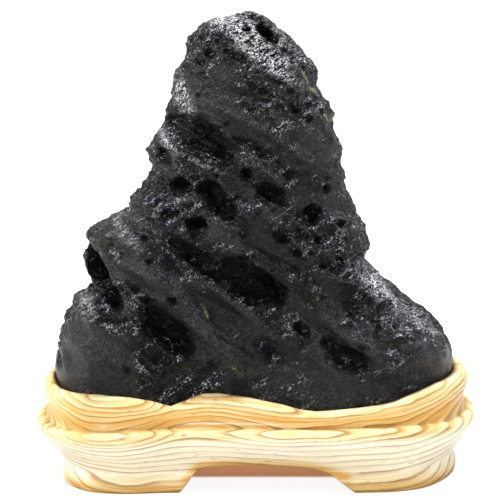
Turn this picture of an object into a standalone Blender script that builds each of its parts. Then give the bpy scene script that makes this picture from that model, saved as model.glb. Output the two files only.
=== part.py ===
"""A scholar's rock on its fitted wooden stand.

A black, pitted viewing stone sits in a seat that is carved to its own footprint. The
stand is one piece of pale wood: two broad feet, a rounded belt, and a collar whose rim
rises and falls with the stone. Lengths below are in millimetres, and the meshes are in metres,
+Z up, front towards -Y, with the origin at the bottom centre of the bounding box.
"""

import math
from collections import namedtuple

import bmesh
import bpy
import numpy as np
from mathutils import Vector, noise

MM = 0.001

# Outline of the stone seen from the front, as (height, x) down each edge
LEFT_EDGE = (
    (30, -84), (33, -92), (40, -98), (47, -99.5), (62, -102), (76, -99.6), (86, -95.4),
    (95, -91), (99, -84), (101, -80), (105, -81.5), (110, -86), (115, -88.4),
    (123, -87), (130, -83.7), (133, -77), (137, -65), (146, -61), (154, -54),
    (160, -52), (170, -53), (176, -50.5), (182, -46), (194, -42), (206, -38.5),
    (214, -35.5), (224, -31.5), (229, -28.5), (233, -26), (236.5, -21), (239.5, -11),
)
RIGHT_EDGE = (
    (30, 84), (33, 91), (40, 97.5), (47, 99.8), (59, 101.2), (66, 100.2), (76, 94.5),
    (84, 86), (93, 72.5), (97, 69), (101, 65), (106, 61), (110, 57.5), (115, 56),
    (124, 57.5), (130, 55), (138, 51.5), (146, 48), (154, 44), (162, 41), (178, 40.5), (188, 37.5),
    (193, 35), (200, 30), (210, 29.3), (217, 22), (224, 12.5), (231, 5.5),
    (236, 2), (239.5, -2.5),
)
# Front and back faces of the stone, as (height, y front, y back)
DEPTHS = (
    (30, -32, 34), (33, -39, 41), (40, -43, 45), (50, -44, 46), (62, -44, 45), (80, -42, 43),
    (100, -39, 40), (120, -36, 38), (140, -34, 36), (160, -31, 33), (180, -29, 30),
    (200, -26, 26), (214, -22, 21), (226, -15, 15), (233, -10, 9), (239.5, -5, 3),
)
ROCK_BASE = 30.0
ROCK_TOP = 239.5
# Plan of the stone where it meets the rim, clockwise from the left end, front side first
FOOTPRINT = (
    (-100, 4), (-98.5, -16), (-93, -33), (-79, -43), (-62, -41.5), (-40, -36), (-18, -36),
    (14, -37.5), (38, -37), (58, -33.5), (76, -29.5), (90, -21), (99, -5), (102, 15),
    (99, 35), (83, 45), (50, 44), (12, 41), (-24, 42), (-58, 40), (-82, 36), (-96, 22),
)
# Plan of the feet at their widest, in the same order
FOOT_PLAN = (
    (-98, 4), (-97, -11), (-92.5, -21), (-82, -29.5), (-65, -32.5), (-44, -30.5), (-18, -30),
    (14, -31), (38, -31), (58, -30), (72, -28), (85.3, -21.8), (95.3, -9.7), (102.8, 9),
    (102, 29), (84, 38), (50, 38), (12, 35), (-24, 36), (-58, 35), (-80, 31), (-94, 19),
)
FOOTPRINT_FADE = (62.0, 125.0)
SECTION_ROUNDNESS = 2.35
SECTION_POINTS = 112
SECTION_STEP = 2.4

# The beds of the stone dip down to the right: angle low on the stone and near its top
DIP_HEIGHTS = (70.0, 205.0)
DIP_ANGLES = (40.0, 23.0)
BED_STRETCH = 3.4

# Lumps and ridges worn into the whole surface: (size, height)
LUMPS = (40.0, 3.2)
BEDS = (13.0, 5.2)
BED_MEAN = 0.21
KNUCKLES = (9.0, 1.4)
# Below this height the relief fades, so that the stone still fits its seat
SEAT_FADE = (56.0, 70.0)

# Hollows and slots. The face is the side that a hollow is cut into: 0 is the front, 90 the
# right end, 180 the back and -90 the left end. Across and height give its middle as seen on
# that side, then come half length, half width, the angle at which the length dips to the
# right, the depth, and how sharp the lip is from 0 to 1.
Hollow = namedtuple("Hollow", "face across height length width dip depth lip")
HOLLOWS = {
    "great hollow": Hollow(0, -25, 177, 20, 10, 26, 13, 0.5),
    "great hollow foot": Hollow(0, -15, 169.5, 8, 4, 15, 5, 0.4),
    "left dimple": Hollow(0, -47, 169, 6.5, 4.5, 40, 6, 0.4),
    "round hole": Hollow(0, -36.5, 154.5, 5.6, 5.4, 0, 13, 0.6),
    "long hole": Hollow(0, -18.3, 146.8, 15, 6, 48, 12, 0.55),
    "small hole": Hollow(0, -4.6, 162, 3, 3, 0, 7, 0.6),
    "breast hollow": Hollow(0, 7.1, 152, 9, 5.5, 30, 8, 0.4),
    "right hollow": Hollow(0, 27.6, 140.5, 6.3, 6, 0, 9, 0.5),
    "middle hole": Hollow(0, -28.6, 135, 6.5, 5.5, 30, 12, 0.5),
    "middle shelf": Hollow(0, -40, 138, 13, 7, 25, 6, 0.35),
    "great pocket": Hollow(0, -2.7, 108.5, 22, 10.5, 31, 15, 0.5),
    "pocket eye": Hollow(0, 9.6, 103, 5.5, 5, 0, 7, 0.4),
    "long trough": Hollow(0, -29.6, 118.5, 22, 6.5, 42, 8, 0.4),
    "upper pair, left": Hollow(0, 12, 131, 4.2, 3.6, 30, 6, 0.5),
    "upper pair, right": Hollow(0, 20.8, 132, 3.4, 3.2, 0, 5, 0.5),
    "left slot": Hollow(-12, -77.5, 108.5, 20.5, 5.6, 58, 18, 0.65),
    "low hollow": Hollow(0, -44, 84, 18, 8, 36, 13, 0.5),
    "lobe dip": Hollow(0, -73, 91, 12, 7, 60, 5, 0.1),
    "low pit, left": Hollow(0, 22.4, 84, 6.5, 4, 52, 6, 0.45),
    "low pit, middle": Hollow(0, 35.7, 78, 5, 4, 30, 7, 0.45),
    "low pit, right": Hollow(0, 45, 70, 11.5, 7.5, 27, 10, 0.5),
    "right foot pit": Hollow(0, 62, 58, 8, 5, 12, 7, 0.45),
    "shallow furrow": Hollow(0, 6, 74, 12, 5, 48, 4, 0.1),
    "notch at the rim": Hollow(0, 1.5, 58, 5, 4, 62, 6, 0.4),
    "shoulder slot": Hollow(15, 60, 108, 6.5, 2.6, 42, 7, 0.5),
    "shoulder pit": Hollow(0, 66, 92, 4.6, 3.6, 30, 5, 0.4),
    "shoulder dip": Hollow(0, 46, 89, 11, 8, 60, 4.5, 0.1),
    "crown slot": Hollow(0, 5, 229.5, 9, 3.2, 41, 10, 0.5),
    "brow groove": Hollow(0, -25, 209, 12, 2.4, 24, 3.5, 0.1),
    "back hollow, high": Hollow(180, -8, 186, 15, 8, -24, 9, 0.4),
    "back hole, high": Hollow(180, 22, 158, 7, 6, -20, 10, 0.5),
    "back pocket": Hollow(180, -12, 128, 19, 9, -30, 12, 0.45),
    "back trough": Hollow(180, 30, 104, 24, 7, -36, 8, 0.35),
    "back hole, middle": Hollow(180, -40, 98, 7, 6, 0, 10, 0.5),
    "back hollow, low": Hollow(180, 4, 78, 16, 8, -34, 10, 0.45),
    "back pit, left": Hollow(180, 66, 74, 9, 6, -40, 7, 0.4),
    "back pit, right": Hollow(180, -72, 76, 8, 6, -30, 7, 0.4),
    "left end hollow": Hollow(-90, 4, 86, 9, 6, 30, 6, 0.3),
    "left flank hollow": Hollow(-90, -4, 152, 9, 6, 20, 6, 0.35),
    "right flank hollow": Hollow(90, 6, 148, 11, 6, 10, 7, 0.35),
    "right end hollow": Hollow(90, -2, 82, 9, 5, -10, 5, 0.3),
}
# A hollow's floor sits higher than its mouth by this share of its depth, which leaves an
# overhanging upper lip
HOLLOW_LIFT = 0.3
# Ragged edges of the hollows: (size, share of their size)
HOLLOW_WOBBLE = (8.0, 0.3)

# Swellings, given as the hollows are, with a height in place of a depth
SWELLINGS = {
    "brow": Hollow(0, -20, 192, 24, 9, 28, -5, 0),
    "breast": Hollow(0, 22, 172, 24, 16, 56, -4, 0),
    "hollow sill": Hollow(0, -31, 168.5, 26, 4, 24, -3.5, 0),
    "thin rib": Hollow(0, -5, 142.5, 18, 3, 56, -3.5, 0),
    "diagonal ridge": Hollow(0, -33, 93, 62, 10, 45, -6.5, 0),
    "trough sill": Hollow(0, -20, 106, 34, 3.6, 40, -3.5, 0),
    "lower ridge": Hollow(0, 46, 84, 36, 9, 43, -3.5, 0),
    "left lobe": Hollow(-25, -80, 74, 24, 24, 0, -6, 0),
    "right lobe": Hollow(25, 76, 74, 22, 20, 0, -6, 0),
    "back ridge": Hollow(180, 6, 112, 66, 10, -36, -5, 0),
    "back brow": Hollow(180, 4, 200, 20, 9, -24, -4, 0),
}

ROCK_VOXEL = 1.7
ROCK_TRIANGLES = 6700

# The stand's plan is the stone's footprint moved outwards: the belt stands this far out
# along the sides, and more at the two ends
BELT_OVERHANG = 8.2
END_OVERHANG = 2.6
# Foot and waist, upwards: (share of the way out from the foot's plan to the belt's,
# distance further out, height)
FOOT_PROFILE = (
    (0, -2.8, 0), (0, -0.8, 1.3), (0, 0.2, 4.6), (0, -0.6, 8), (0, -1.9, 11),
    (0.13, -1.2, 14.6), (0.36, -0.4, 19.4), (0.64, 0, 24.4), (0.86, 0, 28.4), (0.97, 0, 31.2),
)
# Belt, upwards: (distance out from the footprint, height)
BELT_PROFILE = ((BELT_OVERHANG, 33.4), (7.3, 35), (5.2, 35.9), (3.7, 36.2))
CREASE_HEIGHT = 36.2
# Collar, upwards: (distance out, share of the way from the crease to the rim)
COLLAR_PROFILE = (
    (2.7, 0.1), (2.4, 0.3), (3.3, 0.5), (4.3, 0.68), (4.0, 0.84), (2.9, 0.96), (1.2, 1.0),
)
# Height of the rim along the front and the back, as (x, height)
RIM_FRONT = (
    (-107, 55.5), (-88, 54.8), (-76, 54.9), (-62, 53), (-52, 50.7), (-42, 47.2), (-35, 49.8),
    (-26, 53.6), (-18, 53.9), (-4, 51.8), (13.5, 48.2), (22, 45.8), (30, 44.8), (50, 46),
    (62, 46.9), (69, 48.4), (76, 51), (84, 53.8), (92, 55.7), (107, 56.2),
)
RIM_BACK = (
    (-107, 55.5), (-82, 57), (-54, 53), (-26, 56), (2, 53), (30, 56.5), (56, 52.5),
    (82, 55.5), (107, 56.2),
)
STAND_STATIONS = 56
SEAT_CLEARANCE = 0.8
SEAT_HEIGHTS = (29.4, 33, 40, 47, 54, 62)
# Hollow underside between the feet
UNDERSIDE_HEIGHT = 15.0
UNDERSIDE_INSET = 23.0
# Arch between the feet, front and back: (distance from its left end, height), and its place
FRONT_ARCH = (
    (0, -1), (0.5, 0), (4, 5.5), (8.5, 11), (14, 13.6), (26, 14.6), (42, 15), (56, 14.5),
    (67, 12.8), (75.5, 9.6), (83, 4.2), (88, 0), (88.5, -1),
)
FRONT_ARCH_START = -38.0

STONE_COLOUR = (0.022, 0.024, 0.024, 1)
STONE_ROUGHNESS = 0.34
WOOD_COLOUR = (0.83, 0.64, 0.36, 1)
WOOD_ROUGHNESS = 0.38


def clear_scene():
    for obj in list(bpy.data.objects):
        bpy.data.objects.remove(obj, do_unlink=True)


def make_collection(name):
    collection = bpy.data.collections.new(name)
    bpy.context.scene.collection.children.link(collection)
    return collection


def make_material(name, colour, roughness):
    material = bpy.data.materials.new(name)
    material.use_nodes = True
    shader = material.node_tree.nodes["Principled BSDF"]
    shader.inputs["Base Color"].default_value = colour
    shader.inputs["Roughness"].default_value = roughness
    shader.inputs["Metallic"].default_value = 0
    material.diffuse_color = colour
    return material


def smoothstep(low, high, value):
    share = np.clip((value - low) / (high - low), 0, 1)
    return share * share * (3 - 2 * share)


def closed_curve(points, count):
    """Smooth closed curve through the points, resampled at equal steps."""
    points = np.array(points, dtype=float)
    before = np.roll(points, 1, axis=0)
    after = np.roll(points, -1, axis=0)
    beyond = np.roll(points, -2, axis=0)
    fine = []
    for step in np.linspace(0, 1, 24, endpoint=False):
        fine.append(0.5 * (
            2 * points
            + (after - before) * step
            + (2 * before - 5 * points + 4 * after - beyond) * step ** 2
            + (3 * points - before - 3 * after + beyond) * step ** 3
        ))
    curve = np.stack(fine, axis=1).reshape(-1, 2)
    return resampled(curve, count)


def resampled(curve, count):
    loop = np.vstack([curve, curve[:1]])
    lengths = np.hstack([0, np.cumsum(np.linalg.norm(np.diff(loop, axis=0), axis=1))])
    stations = np.linspace(0, lengths[-1], count, endpoint=False)
    return np.stack([np.interp(stations, lengths, loop[:, axis]) for axis in (0, 1)], axis=1)


def superellipse(roundness, count):
    angles = math.pi + np.linspace(0, 2 * math.pi, 720, endpoint=False)
    power = 2 / roundness
    across = np.sign(np.cos(angles)) * np.abs(np.cos(angles)) ** power
    along = np.sign(np.sin(angles)) * np.abs(np.sin(angles)) ** power
    return resampled(np.stack([across, along], axis=1), count)


def to_unit(curve):
    """Curve scaled so that its bounding box runs from -1 to 1 both ways."""
    low = curve.min(axis=0)
    high = curve.max(axis=0)
    return (2 * curve - low - high) / (high - low)


def outward_normals(curve):
    along = np.roll(curve, -1, axis=0) - np.roll(curve, 1, axis=0)
    normals = np.stack([along[:, 1], -along[:, 0]], axis=1)
    return normals / np.linalg.norm(normals, axis=1, keepdims=True)


def edge_at(edge, height, column=1):
    table = np.array(edge, dtype=float)
    return float(np.interp(height, table[:, 0], table[:, column]))


def rock_section(height, count=SECTION_POINTS, clearance=0.0):
    """Level section through the stone: its footprint low down, rounder above."""
    round_shape = superellipse(SECTION_ROUNDNESS, count)
    foot_shape = to_unit(closed_curve(FOOTPRINT, count))
    rounding = smoothstep(FOOTPRINT_FADE[0], FOOTPRINT_FADE[1], height)
    shape = foot_shape * (1 - rounding) + round_shape * rounding
    left = edge_at(LEFT_EDGE, height)
    right = edge_at(RIGHT_EDGE, height)
    front = edge_at(DEPTHS, height, 1)
    back = edge_at(DEPTHS, height, 2)
    section = np.stack([
        (left + right) / 2 + shape[:, 0] * (right - left) / 2,
        (front + back) / 2 + shape[:, 1] * (back - front) / 2,
    ], axis=1)
    return section + outward_normals(section) * clearance


def loft(name, rings, collection):
    """Closed solid through rings of equal count, with a fan over each end."""
    bm = bmesh.new()
    rows = [[bm.verts.new(Vector(point) * MM) for point in ring] for ring in rings]
    count = len(rings[0])
    for lower, upper in zip(rows, rows[1:]):
        for index in range(count):
            after = (index + 1) % count
            bm.faces.new((lower[index], lower[after], upper[after], upper[index]))
    for row, ring in ((rows[0], rings[0]), (rows[-1], rings[-1])):
        middle = bm.verts.new(Vector(np.mean(ring, axis=0)) * MM)
        for index in range(count):
            bm.faces.new((row[index], row[(index + 1) % count], middle))
    bmesh.ops.recalc_face_normals(bm, faces=bm.faces)
    mesh = bpy.data.meshes.new(name)
    bm.to_mesh(mesh)
    bm.free()
    obj = bpy.data.objects.new(name, mesh)
    collection.objects.link(obj)
    return obj


def apply_modifiers(obj):
    """Replace the object's mesh by its evaluated one."""
    graph = bpy.context.evaluated_depsgraph_get()
    mesh = bpy.data.meshes.new_from_object(obj.evaluated_get(graph))
    old = obj.data
    obj.modifiers.clear()
    obj.data = mesh
    bpy.data.meshes.remove(old)


def remesh(obj, voxel):
    modifier = obj.modifiers.new("remesh", "REMESH")
    modifier.mode = "VOXEL"
    modifier.voxel_size = voxel * MM
    apply_modifiers(obj)


def decimate(obj, triangles):
    obj.data.calc_loop_triangles()
    modifier = obj.modifiers.new("decimate", "DECIMATE")
    modifier.ratio = triangles / len(obj.data.loop_triangles)
    modifier.use_collapse_triangulate = True
    apply_modifiers(obj)


def keep_main_shell(obj):
    """Delete every shell but the largest."""
    bm = bmesh.new()
    bm.from_mesh(obj.data)
    left_over = set(bm.verts)
    shells = []
    while left_over:
        shell = set()
        front = [left_over.pop()]
        while front:
            vert = front.pop()
            shell.add(vert)
            for edge in vert.link_edges:
                other = edge.other_vert(vert)
                if other in left_over:
                    left_over.remove(other)
                    front.append(other)
        shells.append(shell)
    shells.sort(key=len)
    for shell in shells[:-1]:
        bmesh.ops.delete(bm, geom=list(shell), context="VERTS")
    bm.to_mesh(obj.data)
    bm.free()


def noise_at(points, size, shift):
    """Smooth noise from -1 to 1 for each point, with features of the given size."""
    offset = Vector((shift, -shift, 2 * shift))
    return np.array([noise.noise(Vector(point) / size + offset) for point in points])


def bed_frame(points):
    """Points in the frame of the dipping beds: along a bed, into the stone, across beds."""
    dip = np.radians(np.interp(points[:, 2], DIP_HEIGHTS, DIP_ANGLES))
    along = points[:, 0] * np.cos(dip) - points[:, 2] * np.sin(dip)
    across = points[:, 0] * np.sin(dip) + points[:, 2] * np.cos(dip)
    return np.stack([along / BED_STRETCH, points[:, 1] / 1.5, across], axis=1)


def worn_height(points):
    """How far the worn surface stands out of the plain form at each point."""
    beds = bed_frame(points)
    lumps = noise_at(points, LUMPS[0], 3.1) * LUMPS[1]
    ridges = (BED_MEAN - np.abs(noise_at(beds, BEDS[0], 7.7))) * BEDS[1]
    knuckles = noise_at(beds, KNUCKLES[0], 11.3) * KNUCKLES[1]
    return lumps + ridges + knuckles


def hollow_shift(points, normals, hollow, wobble):
    """Movement of each point into one hollow, or out over one swelling."""
    face = math.radians(hollow.face)
    outward = np.array([math.sin(face), -math.cos(face), 0])
    nearest_side = math.radians(90 * round(hollow.face / 90))
    rightward = np.array([math.cos(nearest_side), math.sin(nearest_side), 0])
    dip = math.radians(hollow.dip)
    across = points @ rightward - hollow.across
    up = points[:, 2] - hollow.height
    along_length = across * math.cos(dip) - up * math.sin(dip)
    along_width = across * math.sin(dip) + up * math.cos(dip)
    reach = np.hypot(along_length / hollow.length, along_width / hollow.width)
    reach = reach * (1 + wobble)
    share = 1 - smoothstep(hollow.lip, 1, reach)
    share = share * smoothstep(-0.05, 0.35, normals @ outward)
    lift = HOLLOW_LIFT if hollow.depth > 0 else 0
    direction = -outward + np.array([0, 0, lift])
    return share[:, None] * hollow.depth * direction


def carve(obj):
    """Wear the plain form of the stone: swellings, ridges along the beds, then hollows."""
    mesh = obj.data
    points = np.empty(len(mesh.vertices) * 3)
    mesh.vertices.foreach_get("co", points)
    points = points.reshape(-1, 3) / MM
    normals = np.array([vertex.normal[:] for vertex in mesh.vertices])
    free = smoothstep(SEAT_FADE[0], SEAT_FADE[1], points[:, 2])
    wobble = noise_at(points, HOLLOW_WOBBLE[0], 5.9) * HOLLOW_WOBBLE[1]
    shift = np.zeros_like(points)
    for swelling in SWELLINGS.values():
        shift += hollow_shift(points, normals, swelling, wobble * 0)
    shift += normals * worn_height(points)[:, None]
    for hollow in HOLLOWS.values():
        shift += hollow_shift(points, normals, hollow, wobble)
    points = points + shift * free[:, None]
    mesh.vertices.foreach_set("co", (points * MM).ravel())
    mesh.update()


def build_rock(collection, material):
    heights = np.arange(ROCK_BASE, ROCK_TOP, SECTION_STEP)
    heights = np.append(heights, ROCK_TOP)
    rings = [
        [(x, y, height) for x, y in rock_section(height)] for height in heights
    ]
    rock = loft("rock", rings, collection)
    remesh(rock, ROCK_VOXEL)
    carve(rock)
    remesh(rock, ROCK_VOXEL)
    keep_main_shell(rock)
    decimate(rock, ROCK_TRIANGLES)
    rock.data.materials.append(material)
    rock.data.shade_smooth()
    return rock


def rim_height(x, y):
    edge = RIM_FRONT if y < 8 else RIM_BACK
    return edge_at(edge, x)


def stand_plan(out):
    """The footprint moved outwards, and further at the two ends."""
    footprint = closed_curve(FOOTPRINT, STAND_STATIONS)
    normals = outward_normals(footprint)
    ends = END_OVERHANG * normals[:, :1] ** 2
    return footprint + normals * (out + ends)


def stand_rings():
    feet = closed_curve(FOOT_PLAN, STAND_STATIONS)
    foot_normals = outward_normals(feet)
    belt = stand_plan(BELT_OVERHANG)
    rings = []
    for share, out, height in FOOT_PROFILE:
        plan = feet * (1 - share) + belt * share + foot_normals * out
        rings.append([(x, y, height) for x, y in plan])
    for out, height in BELT_PROFILE:
        rings.append([(x, y, height) for x, y in stand_plan(out)])
    for out, share in COLLAR_PROFILE:
        rings.append([
            (x, y, CREASE_HEIGHT + share * (rim_height(x, y) - CREASE_HEIGHT))
            for x, y in stand_plan(out)
        ])
    return rings


def seat_cutter(collection):
    rings = []
    for height in SEAT_HEIGHTS:
        section = rock_section(max(height, ROCK_BASE), STAND_STATIONS, SEAT_CLEARANCE)
        rings.append([(x, y, height) for x, y in section])
    return loft("seat", rings, collection)


def underside_cutter(collection):
    footprint = closed_curve(FOOTPRINT, STAND_STATIONS // 2)
    inner = footprint - outward_normals(footprint) * UNDERSIDE_INSET
    rings = [
        [(x, y, height) for x, y in inner] for height in (-1, UNDERSIDE_HEIGHT)
    ]
    return loft("underside", rings, collection)


def arch_cutter(name, outline, half_depth, collection):
    """Cutter with the arch's outline, run through the stand from front to back."""
    curve = bpy.data.curves.new(name, "CURVE")
    curve.dimensions = "2D"
    curve.fill_mode = "BOTH"
    curve.extrude = half_depth * MM
    spline = curve.splines.new("POLY")
    spline.points.add(len(outline) - 1)
    for point, (across, height) in zip(spline.points, outline):
        point.co = (across * MM, height * MM, 0, 1)
    spline.use_cyclic_u = True
    guide = bpy.data.objects.new(name + " outline", curve)
    guide.rotation_euler = (math.pi / 2, 0, 0)
    collection.objects.link(guide)
    bpy.context.view_layer.update()
    graph = bpy.context.evaluated_depsgraph_get()
    mesh = bpy.data.meshes.new_from_object(guide.evaluated_get(graph))
    bm = bmesh.new()
    bm.from_mesh(mesh)
    bmesh.ops.remove_doubles(bm, verts=bm.verts, dist=0.00001)
    bmesh.ops.recalc_face_normals(bm, faces=bm.faces)
    bm.to_mesh(mesh)
    bm.free()
    cutter = bpy.data.objects.new(name, mesh)
    cutter.matrix_world = guide.matrix_world
    collection.objects.link(cutter)
    bpy.data.objects.remove(guide)
    return cutter


def cut(obj, cutter):
    cutter.hide_render = True
    cutter.display_type = "WIRE"
    modifier = obj.modifiers.new("cut " + cutter.name, "BOOLEAN")
    modifier.operation = "DIFFERENCE"
    modifier.object = cutter


def build_stand(collection, cutters, material):
    stand = loft("stand", stand_rings(), collection)
    front_arch = [(FRONT_ARCH_START + across, height) for across, height in FRONT_ARCH]
    cut(stand, seat_cutter(cutters))
    cut(stand, underside_cutter(cutters))
    cut(stand, arch_cutter("arch", front_arch, 80, cutters))
    apply_modifiers(stand)
    stand.data.materials.append(material)
    stand.data.shade_smooth()
    stand.data.set_sharp_from_angle(angle=math.radians(50))
    return stand


def centre_on_base(objects):
    """Move the meshes so that the origin is the bottom centre of them all together."""
    points = np.array([vertex.co[:] for obj in objects for vertex in obj.data.vertices])
    low = points.min(axis=0)
    high = points.max(axis=0)
    shift = Vector((-(low[0] + high[0]) / 2, -(low[1] + high[1]) / 2, -low[2]))
    for obj in objects:
        for vertex in obj.data.vertices:
            vertex.co += shift
        obj.data.update()


def main():
    clear_scene()
    parts = make_collection("scholars_rock")
    cutters = make_collection("cutters")
    stone = make_material("stone", STONE_COLOUR, STONE_ROUGHNESS)
    wood = make_material("wood", WOOD_COLOUR, WOOD_ROUGHNESS)
    rock = build_rock(parts, stone)
    stand = build_stand(parts, cutters, wood)
    centre_on_base((rock, stand))


main()
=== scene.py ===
"""The looks of a scholar's rock on its fitted wooden stand.

The stone is black, worn along dipping beds, pitted and oiled to a wet sparkle; its hollows
have painted shade, and it has painted highlights and glints. The stand is one block of pale
varnished wood with strong growth lines, with painted shade in its cove, at its seat's edge
and underneath, and painted light on its waist. Lengths in the classes below are in
millimetres, and the meshes that they make are in metres.
"""

from __future__ import annotations

import logging
import math
from dataclasses import dataclass
from enum import Enum
from functools import partial, reduce

import bmesh
import bpy
import numpy as np
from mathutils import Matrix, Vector, noise
from mathutils.bvhtree import BVHTree

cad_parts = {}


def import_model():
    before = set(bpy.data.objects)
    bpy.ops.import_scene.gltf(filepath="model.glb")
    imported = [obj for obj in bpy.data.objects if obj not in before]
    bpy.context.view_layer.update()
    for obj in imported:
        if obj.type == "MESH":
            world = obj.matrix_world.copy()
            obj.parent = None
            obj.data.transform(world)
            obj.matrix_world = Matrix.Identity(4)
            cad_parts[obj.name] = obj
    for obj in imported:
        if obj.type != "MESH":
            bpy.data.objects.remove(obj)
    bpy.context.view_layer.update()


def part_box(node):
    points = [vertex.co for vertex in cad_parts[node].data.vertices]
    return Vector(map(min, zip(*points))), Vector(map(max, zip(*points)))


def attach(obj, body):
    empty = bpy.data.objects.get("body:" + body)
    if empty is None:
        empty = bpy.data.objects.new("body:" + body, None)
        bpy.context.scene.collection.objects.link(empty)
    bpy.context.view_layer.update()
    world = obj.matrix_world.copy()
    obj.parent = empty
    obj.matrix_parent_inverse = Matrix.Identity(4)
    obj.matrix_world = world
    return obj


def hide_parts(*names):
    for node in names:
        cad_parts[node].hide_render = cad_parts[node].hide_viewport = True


MM = 0.001
CURVE_STEPS = 24
OUTLINE_STEPS = 720
LOG = logging.getLogger("scholars_rock")


class Side(Enum):
    """Side of the stone that a form is worn into, by its angle from the front in degrees."""

    FRONT = 0
    RIGHT = 90
    BACK = 180
    LEFT = -90


def smoothstep(low: float, high: float, value: np.ndarray | float) -> np.ndarray:
    """Smooth rise from 0 to 1 between two values.

    Args:
        low: Value where the rise starts.
        high: Value where it ends.
        value: What is read.

    Returns:
        The share from 0 to 1, of the same shape as value.
    """
    share = np.clip((value - low) / (high - low), 0, 1)
    return share * share * (3 - 2 * share)


def resampled(curve: np.ndarray, count: int) -> np.ndarray:
    """Closed plane curve cut again at equal steps along its length.

    Args:
        curve: Points of the closed curve, one row each.
        count: Number of points wanted.

    Returns:
        The new points, starting at the first old one.
    """
    loop = np.vstack([curve, curve[:1]])
    lengths = np.hstack([0, np.cumsum(np.linalg.norm(np.diff(loop, axis=0), axis=1))])
    stations = np.linspace(0, lengths[-1], count, endpoint=False)
    return np.stack([np.interp(stations, lengths, loop[:, axis]) for axis in (0, 1)], axis=1)


def spline_point(
    before: np.ndarray, first: np.ndarray, second: np.ndarray, after: np.ndarray, step: float,
) -> np.ndarray:
    """Point of a smooth curve between two of its points.

    Args:
        before: Point before the two.
        first: First of the two.
        second: Second of the two.
        after: Point after the two.
        step: Share of the way from the first to the second.

    Returns:
        The point.
    """
    return 0.5 * (
        2 * first
        + (second - before) * step
        + (2 * before - 5 * first + 4 * second - after) * step ** 2
        + (3 * first - before - 3 * second + after) * step ** 3
    )


def closed_curve(points: tuple, count: int) -> np.ndarray:
    """Smooth closed curve through a few points, resampled at equal steps.

    Args:
        points: Pairs of x and y that the curve passes through.
        count: Number of points wanted.

    Returns:
        The points of the curve.
    """
    points = np.array(points, dtype=float)
    before, after, beyond = (np.roll(points, turn, axis=0) for turn in (1, -1, -2))
    fine = [
        spline_point(before, points, after, beyond, step)
        for step in np.linspace(0, 1, CURVE_STEPS, endpoint=False)
    ]
    return resampled(np.stack(fine, axis=1).reshape(-1, 2), count)


def smooth_profile(points: tuple, steps: int) -> np.ndarray:
    """Open smooth curve through a profile's points.

    Args:
        points: Rows of the profile, in order.
        steps: Number of steps between two rows.

    Returns:
        The rows of the finer profile.
    """
    rows = np.array(points, dtype=float)
    padded = np.vstack([2 * rows[0] - rows[1], rows, 2 * rows[-1] - rows[-2]])
    fine = [
        spline_point(*padded[index:index + 4], step)
        for index in range(len(rows) - 1)
        for step in np.linspace(0, 1, steps, endpoint=False)
    ]
    return np.array(fine + [rows[-1]])


def superellipse(roundness: float, count: int) -> np.ndarray:
    """Superellipse from -1 to 1 both ways, starting at its left end.

    Args:
        roundness: Its exponent: 2 is an ellipse, and more is squarer.
        count: Number of points wanted.

    Returns:
        The points of the curve, front side first.
    """
    angles = math.pi + np.linspace(0, 2 * math.pi, OUTLINE_STEPS, endpoint=False)
    power = 2 / roundness
    across = np.sign(np.cos(angles)) * np.abs(np.cos(angles)) ** power
    along = np.sign(np.sin(angles)) * np.abs(np.sin(angles)) ** power
    return resampled(np.stack([across, along], axis=1), count)


def to_unit(curve: np.ndarray) -> np.ndarray:
    """Curve scaled so that its bounding box runs from -1 to 1 both ways."""
    low = curve.min(axis=0)
    high = curve.max(axis=0)
    return (2 * curve - low - high) / (high - low)


def outward_normals(curve: np.ndarray) -> np.ndarray:
    """Unit normals that point out of a closed plane curve."""
    along = np.roll(curve, -1, axis=0) - np.roll(curve, 1, axis=0)
    normals = np.stack([along[:, 1], -along[:, 0]], axis=1)
    return normals / np.linalg.norm(normals, axis=1, keepdims=True)


def edge_at(edge: tuple, place: np.ndarray | float, column: int = 1) -> np.ndarray:
    """Value of a named edge at a place along it.

    Args:
        edge: Rows with the place first, in rising order.
        place: Where it is read.
        column: Which value of the rows is read.

    Returns:
        The value, of the same shape as place.
    """
    table = np.array(edge, dtype=float)
    return np.interp(place, table[:, 0], table[:, column])


def noise_at(points: np.ndarray, size: float, shift: float) -> np.ndarray:
    """Smooth noise from -1 to 1 for each point.

    Args:
        points: Points in millimetres.
        size: Size of the noise's features in millimetres.
        shift: Offset that makes one noise unlike another.

    Returns:
        One value for each point.
    """
    offset = Vector((shift, -shift, 2 * shift))
    read = noise.noise
    return np.array([read(Vector(point) + offset) for point in (points / size).tolist()])


def mesh_from_rings(name: str, rings: np.ndarray) -> bpy.types.Object:
    """Closed object through rings of equal count, with a fan over each end.

    Args:
        name: Name of the object.
        rings: Points in millimetres, by ring and by station.

    Returns:
        The new object, with its faces pointing outwards.
    """
    rows, count, _ = rings.shape
    ends = np.stack([rings[0].mean(axis=0), rings[-1].mean(axis=0)])
    points = np.vstack([rings.reshape(-1, 3), ends]) * MM
    row, station = np.meshgrid(np.arange(rows - 1), np.arange(count), indexing="ij")
    after = (station + 1) % count
    quads = np.stack([
        row * count + station, row * count + after,
        (row + 1) * count + after, (row + 1) * count + station,
    ], axis=-1).reshape(-1, 4).tolist()
    first = rows * count
    top = (rows - 1) * count
    fans = []
    for index in range(count):
        following = (index + 1) % count
        fans.append((following, index, first))
        fans.append((top + index, top + following, first + 1))
    mesh = bpy.data.meshes.new(name)
    mesh.from_pydata(points.tolist(), [], quads + fans)
    obj = bpy.data.objects.new(name, mesh)
    bpy.context.scene.collection.objects.link(obj)
    return obj


def apply_modifiers(obj: bpy.types.Object) -> None:
    """Replace the object's mesh by its evaluated one, and take its modifiers off."""
    graph = bpy.context.evaluated_depsgraph_get()
    mesh = bpy.data.meshes.new_from_object(obj.evaluated_get(graph))
    old = obj.data
    obj.modifiers.clear()
    obj.data = mesh
    bpy.data.meshes.remove(old)


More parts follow.
